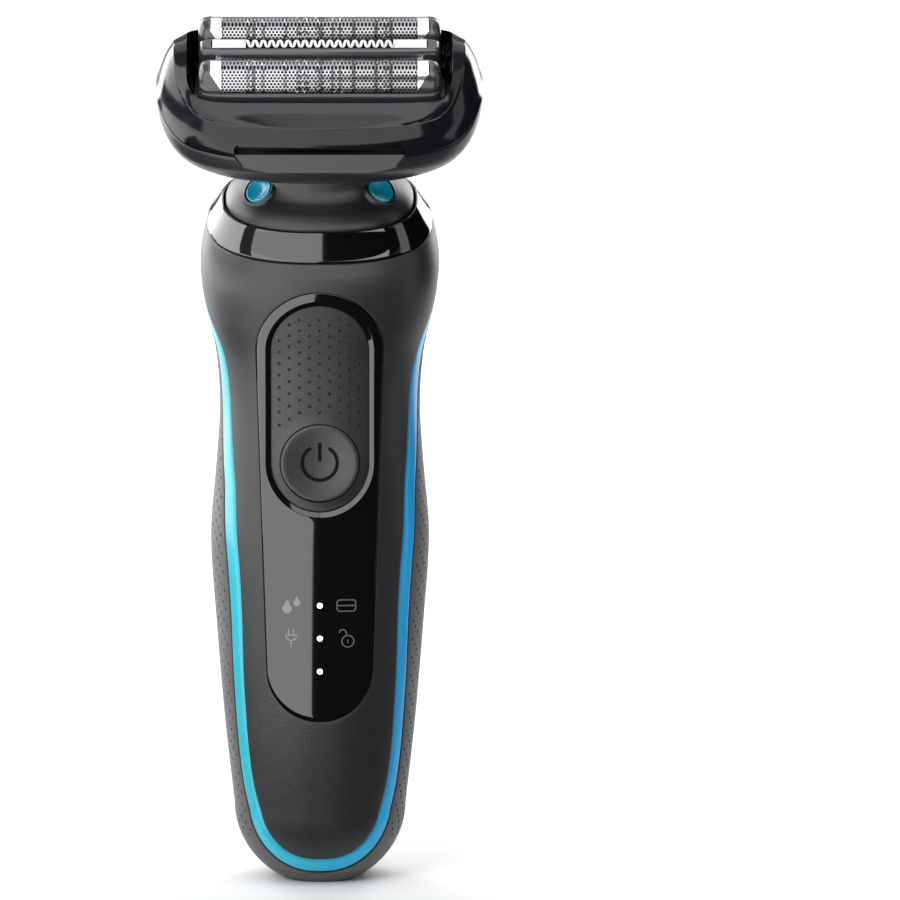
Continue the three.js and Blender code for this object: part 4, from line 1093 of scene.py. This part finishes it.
def trimmer():
    """The middle element: its frame, and the meander comb with bright end plates."""
    half, depth, low, top = 22.5, 2.7, 3.0, 9.3
    body = [(0.3, low), (0, low + 0.3), (0, top - 1.3), (0.12, top - 0.8), (0.4, top - 0.4),
            (0.75, top - 0.12), (1.0, top - 0.05)]
    loops = [super_loop(half - i * 0.8, depth - i, t, 7, 200) for i, t in body]
    loops += [super_loop(20.2, 1.72, top - 0.05, 10, 200), super_loop(20.2, 1.72, 7.9, 10, 200),
              super_loop(20.6, 1.9, 7.7, 10, 200), super_loop(20.6, 1.9, low, 10, 200)]
    ring_solid("trimmer_frame_rim", [headed(loop) for loop in loops], "trimmer_element", "element_frame",
               stands_for=["trimmer_frame"])
    comb_t, thick = 9.28, 0.28
    width, teeth, pitch, reach = 0.52, 18, 1.55, 1.15
    wave = []
    for x in np.linspace(-teeth * pitch / 2, teeth * pitch / 2, teeth * 16 + 1):
        swing = math.sin(2 * math.pi * x / pitch)
        wave.append((x, reach * math.copysign(abs(swing) ** 0.55, swing)))
    points, faces = ribbon(wave, width)
    near, far, deep = 13.75, 19.95, 1.45  # of the end plates
    plates = [([(s * near, -deep), (s * far, -deep), (s * far, deep), (s * near, deep)], [order])
              for s, order in ((-1, (0, 3, 2, 1)), (1, (0, 1, 2, 3)))]
    points, faces = merged([(points, faces)] + plates)

    def level(t):
        return headed(np.column_stack([points[:, 0], points[:, 1], np.full(len(points), t)]))

    thick_sheet("trimmer_comb_plate", level(comb_t), level(comb_t - thick), faces, "trimmer_element",
                "comb_steel", stands_for=["trimmer_comb"], sharp=40)


def guard_strip():
    """The row of small holes in front of and behind the comb."""
    for side, word in ((-1, "front"), (1, "rear")):
        flat, faces = hex_cells(19.6, 0.75, 0.62, 0.2, lambda v: v)
        y, t = side * 2.62, 7.35
        tilt = math.radians(18)

        def level(lift):
            across = flat[:, 1]
            return headed(np.column_stack([
                flat[:, 0], y - side * across * math.sin(tilt) + side * lift * math.cos(tilt),
                t + across * math.cos(tilt) + lift * math.sin(tilt)]))

        thick_sheet(f"trimmer_guard_{word}", level(0.16), level(0.06), faces, "trimmer_element", "foil",
                    sharp=40)


# ---- springs -------------------------------------------------------------------------------
def tube(path, radius, sides=8):
    """Loops of a round wire along a path of points."""
    path = np.asarray(path, float)
    way = np.gradient(path, axis=0)
    way /= np.linalg.norm(way, axis=1)[:, None]
    side = np.cross(way, [0.0, 0.0, 1.0])
    side /= np.linalg.norm(side, axis=1)[:, None]
    up = np.cross(side, way)
    turns = full_turn(sides)
    return path[:, None] + radius * (np.cos(turns)[None, :, None] * side[:, None]
                                     + np.sin(turns)[None, :, None] * up[:, None])


def springs():
    """The coil springs under the elements."""
    axis = headed([[0, 0, 1]])[0] - headed([[0, 0, 0]])[0]
    low, high, radius, wire, coils, place = -1.9, 2.5, 0.95, 0.2, 4, 21.4
    share = np.linspace(0, 1, coils * 14 + 1)
    turn = 2 * math.pi * coils * share
    rows = (("front", -PITCH, "front_float"), ("middle", 0, "trimmer_float"), ("rear", PITCH, "rear_float"))
    for row, y, joint in rows:
        for side, word in ((-1, "left"), (1, "right")):
            path = np.column_stack([side * place + radius * np.cos(turn), y + radius * np.sin(turn),
                                    low + wire + (high - low - 2 * wire) * share])
            name = f"{row}_spring_{word}"
            made = capped_solid(f"{name}_coil", headed(tube(path, wire)), "head", "spring_steel",
                                stands_for=[name], sharp=60)
            anchor = headed([[side * place, y, low]])[0] * MM
            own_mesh(made)


def leaf_springs():
    """The two leaf springs under the drive bridge."""
    for word in ("left", "right"):
        low, high = (np.array(corner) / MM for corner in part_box(f"leaf_spring_{word}"))
        edge = 0.06
        outline = np.array([(low[0] + edge, low[1]), (high[0] - edge, low[1]), (high[0], low[1] + edge),
                            (high[0], high[1] - edge), (high[0] - edge, high[1]), (low[0] + edge, high[1]),
                            (low[0], high[1] - edge), (low[0], low[1] + edge)])
        loops = [np.column_stack([outline, np.full(len(outline), z)])
                 for z in np.linspace(low[2], high[2], 25)]
        leaf = capped_solid(f"leaf_spring_{word}_strip", loops, "handle", "spring_steel",
                            stands_for=[f"leaf_spring_{word}"])
        world = leaf.matrix_world.copy()
        leaf.parent = None
        leaf.matrix_world = world
        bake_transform(leaf)


# ---- build ---------------------------------------------------------------------------------
front_shell()
accent_stripe()
rubber_grip()
front_panel()
thumb_pad()
power_button()
power_symbol()
panel_symbols()
collar_ring()
neck_dome()
release_buttons()
head_base()
head_bezel()
for word, centre in (("front", -PITCH), ("rear", PITCH)):
    foil(word, centre)
    foil_ends(word, centre)
    element_frame(word, centre)
trimmer()
guard_strip()
springs()
leaf_springs()


# ---- floor, lights, camera -----------------------------------------------------------------
def floor():
    mesh = bpy.data.meshes.new("floor")
    reach = 40
    corners = [(x * reach, y * reach, 0) for x, y in ((-1, -1), (1, -1), (1, 1), (-1, 1))]
    mesh.from_pydata(corners, [], [(0, 1, 2, 3)])
    made = placed("floor", mesh)
    mesh.materials.append(material("floor", (0.86, 0.86, 0.86), 0.6, vary=0.005, spec=0.2))


def area_light(name, place, target, width, height, power, glossy=True):
    """A soft white light; without glossy, it doesn't show in reflections."""
    data = bpy.data.lights.new(name, "AREA")
    data.shape = "RECTANGLE"
    data.size, data.size_y = width, height
    data.energy = power
    made = placed(name, data)
    made.location = place
    made.rotation_euler = (Vector(target) - Vector(place)).to_track_quat("-Z", "Y").to_euler()
    made.visible_glossy = glossy


def card(name, corners, radiance):
    """A flat screen that only shows in reflections; radiance 0 makes it a black one."""
    mesh = bpy.data.meshes.new(name)
    mesh.from_pydata(corners, [], [tuple(range(len(corners)))])
    made = placed(name, mesh)
    look = bpy.data.materials.new(name)
    look.use_nodes = True
    shader = look.node_tree.nodes["Principled BSDF"]
    shader.inputs["Base Color"].default_value = (0, 0, 0, 1)
    shader.inputs["Specular IOR Level"].default_value = 0
    shader.inputs["Emission Color"].default_value = (1, 1, 1, 1)
    shader.inputs["Emission Strength"].default_value = radiance
    mesh.materials.append(look)
    made.visible_camera = made.visible_diffuse = made.visible_shadow = made.visible_transmission = False


def camera():
    elevation, distance = math.radians(11), 8.0
    aim, view_width = Vector((0.0243, 0, 0.0809)), 0.1682  # what the photo's middle shows, and its width
    data = bpy.data.cameras.new("camera")
    data.sensor_width = 36
    data.lens = data.sensor_width * distance / view_width
    data.clip_end = 200
    made = placed("camera", data)
    made.location = aim + distance * Vector((0, -math.cos(elevation), math.sin(elevation)))
    made.rotation_euler = (aim - made.location).to_track_quat("-Z", "Y").to_euler()
    bpy.context.scene.camera = made


def world():
    made = bpy.data.worlds.new("world")
    made.use_nodes = True
    made.node_tree.nodes["Background"].inputs["Color"].default_value = (0.9, 0.93, 1.0, 1)
    made.node_tree.nodes["Background"].inputs["Strength"].default_value = 0.22
    bpy.context.scene.world = made


floor()
camera()
world()
MIDDLE = (0, 0, 0.09)
area_light("key", (-0.45, -0.62, 0.42), MIDDLE, 0.4, 0.5, 4.2, glossy=False)
area_light("fill", (0.6, -0.5, 0.3), MIDDLE, 0.4, 0.6, 0.25, glossy=False)
area_light("top_box", (0, 0.4, 1.4), (0, 0.4, 0), 2.6, 2.6, 32, glossy=False)
area_light("back_left", (-0.45, 0.7, 0.35), MIDDLE, 0.35, 0.7, 4)
area_light("back_right", (0.4, 0.75, 0.35), MIDDLE, 0.3, 0.7, 3)


def upright(x0, z0, x1, z1, y=-0.079):
    """Corners of a rectangle that faces the front."""
    return [(x0, y, z0), (x1, y, z0), (x1, y, z1), (x0, y, z1)]


def side_wall(near, far, low, high):
    """Corners of an upright wall between two (x, y) places."""
    return [(*near, low), (*near, high), (*far, high), (*far, low)]


def ceiling(x0, y0, x1, y1, z=0.5):
    return [(x0, y0, z), (x1, y0, z), (x1, y1, z), (x0, y1, z)]


# the photo's reflections: a lit screen in front on the left and a black one on the right, parted by a
# slanted edge, lit patches before them, walls beside, two ceilings and black ground in front
FRONT, GROUND = -0.08, 0.0004  # y of the two screens, z of the ground
EDGE_LINE = [(-0.005, FRONT, 0), (0.001, FRONT, 0.17), (0.001, FRONT, 0.25)]
for name, corners, radiance in (
        ("screen_left", EDGE_LINE + [(-0.097, FRONT, 0.25), (-0.097, FRONT, 0)], 2.8),
        ("screen_right", EDGE_LINE + [(0.2, FRONT, 0.25), (0.2, FRONT, 0)], 0.0),
        ("right_low", upright(0, 0.118, 0.06, 0.162), 2.4),
        ("right_high", upright(0.001, 0.2, 0.1, 0.28), 3.6),
        ("left_high", upright(-0.097, 0.2, 0.001, 0.28), 3.6),
        ("strip_left", side_wall((-0.2, FRONT), (-0.24, 0.25), 0.168, 0.4), 4.8),
        ("left_low", upright(-0.2, 0, -0.097, 0.12, FRONT), 3.4),
        ("strip_left_low", side_wall((-0.2, FRONT), (-0.24, 0.25), 0.03, 0.12), 4.5),
        ("strip_right", side_wall((0.215, FRONT), (0.24, -0.02), 0, 0.4), 1.2),
        ("side_right", side_wall((0.24, -0.02), (0.32, 0.35), 0, 0.4), 0.0),
        ("screen_top", ceiling(-0.02, -0.3, 0.15, 0.12), 2.4),
        ("screen_back_top", ceiling(-0.2, 0.12, 0.2, 0.6), 1.2),
        ("ground_front", [(x, y, GROUND) for x, y in ((-1, -1), (1, -1), (1, 0.35), (0.04, -0.02),
                                                      (-0.04, -0.02), (-0.15, 0.12), (-1, 0.5))], 0.0)):
    card(name, corners, radiance)
bpy.context.scene.view_settings.view_transform = "Standard"
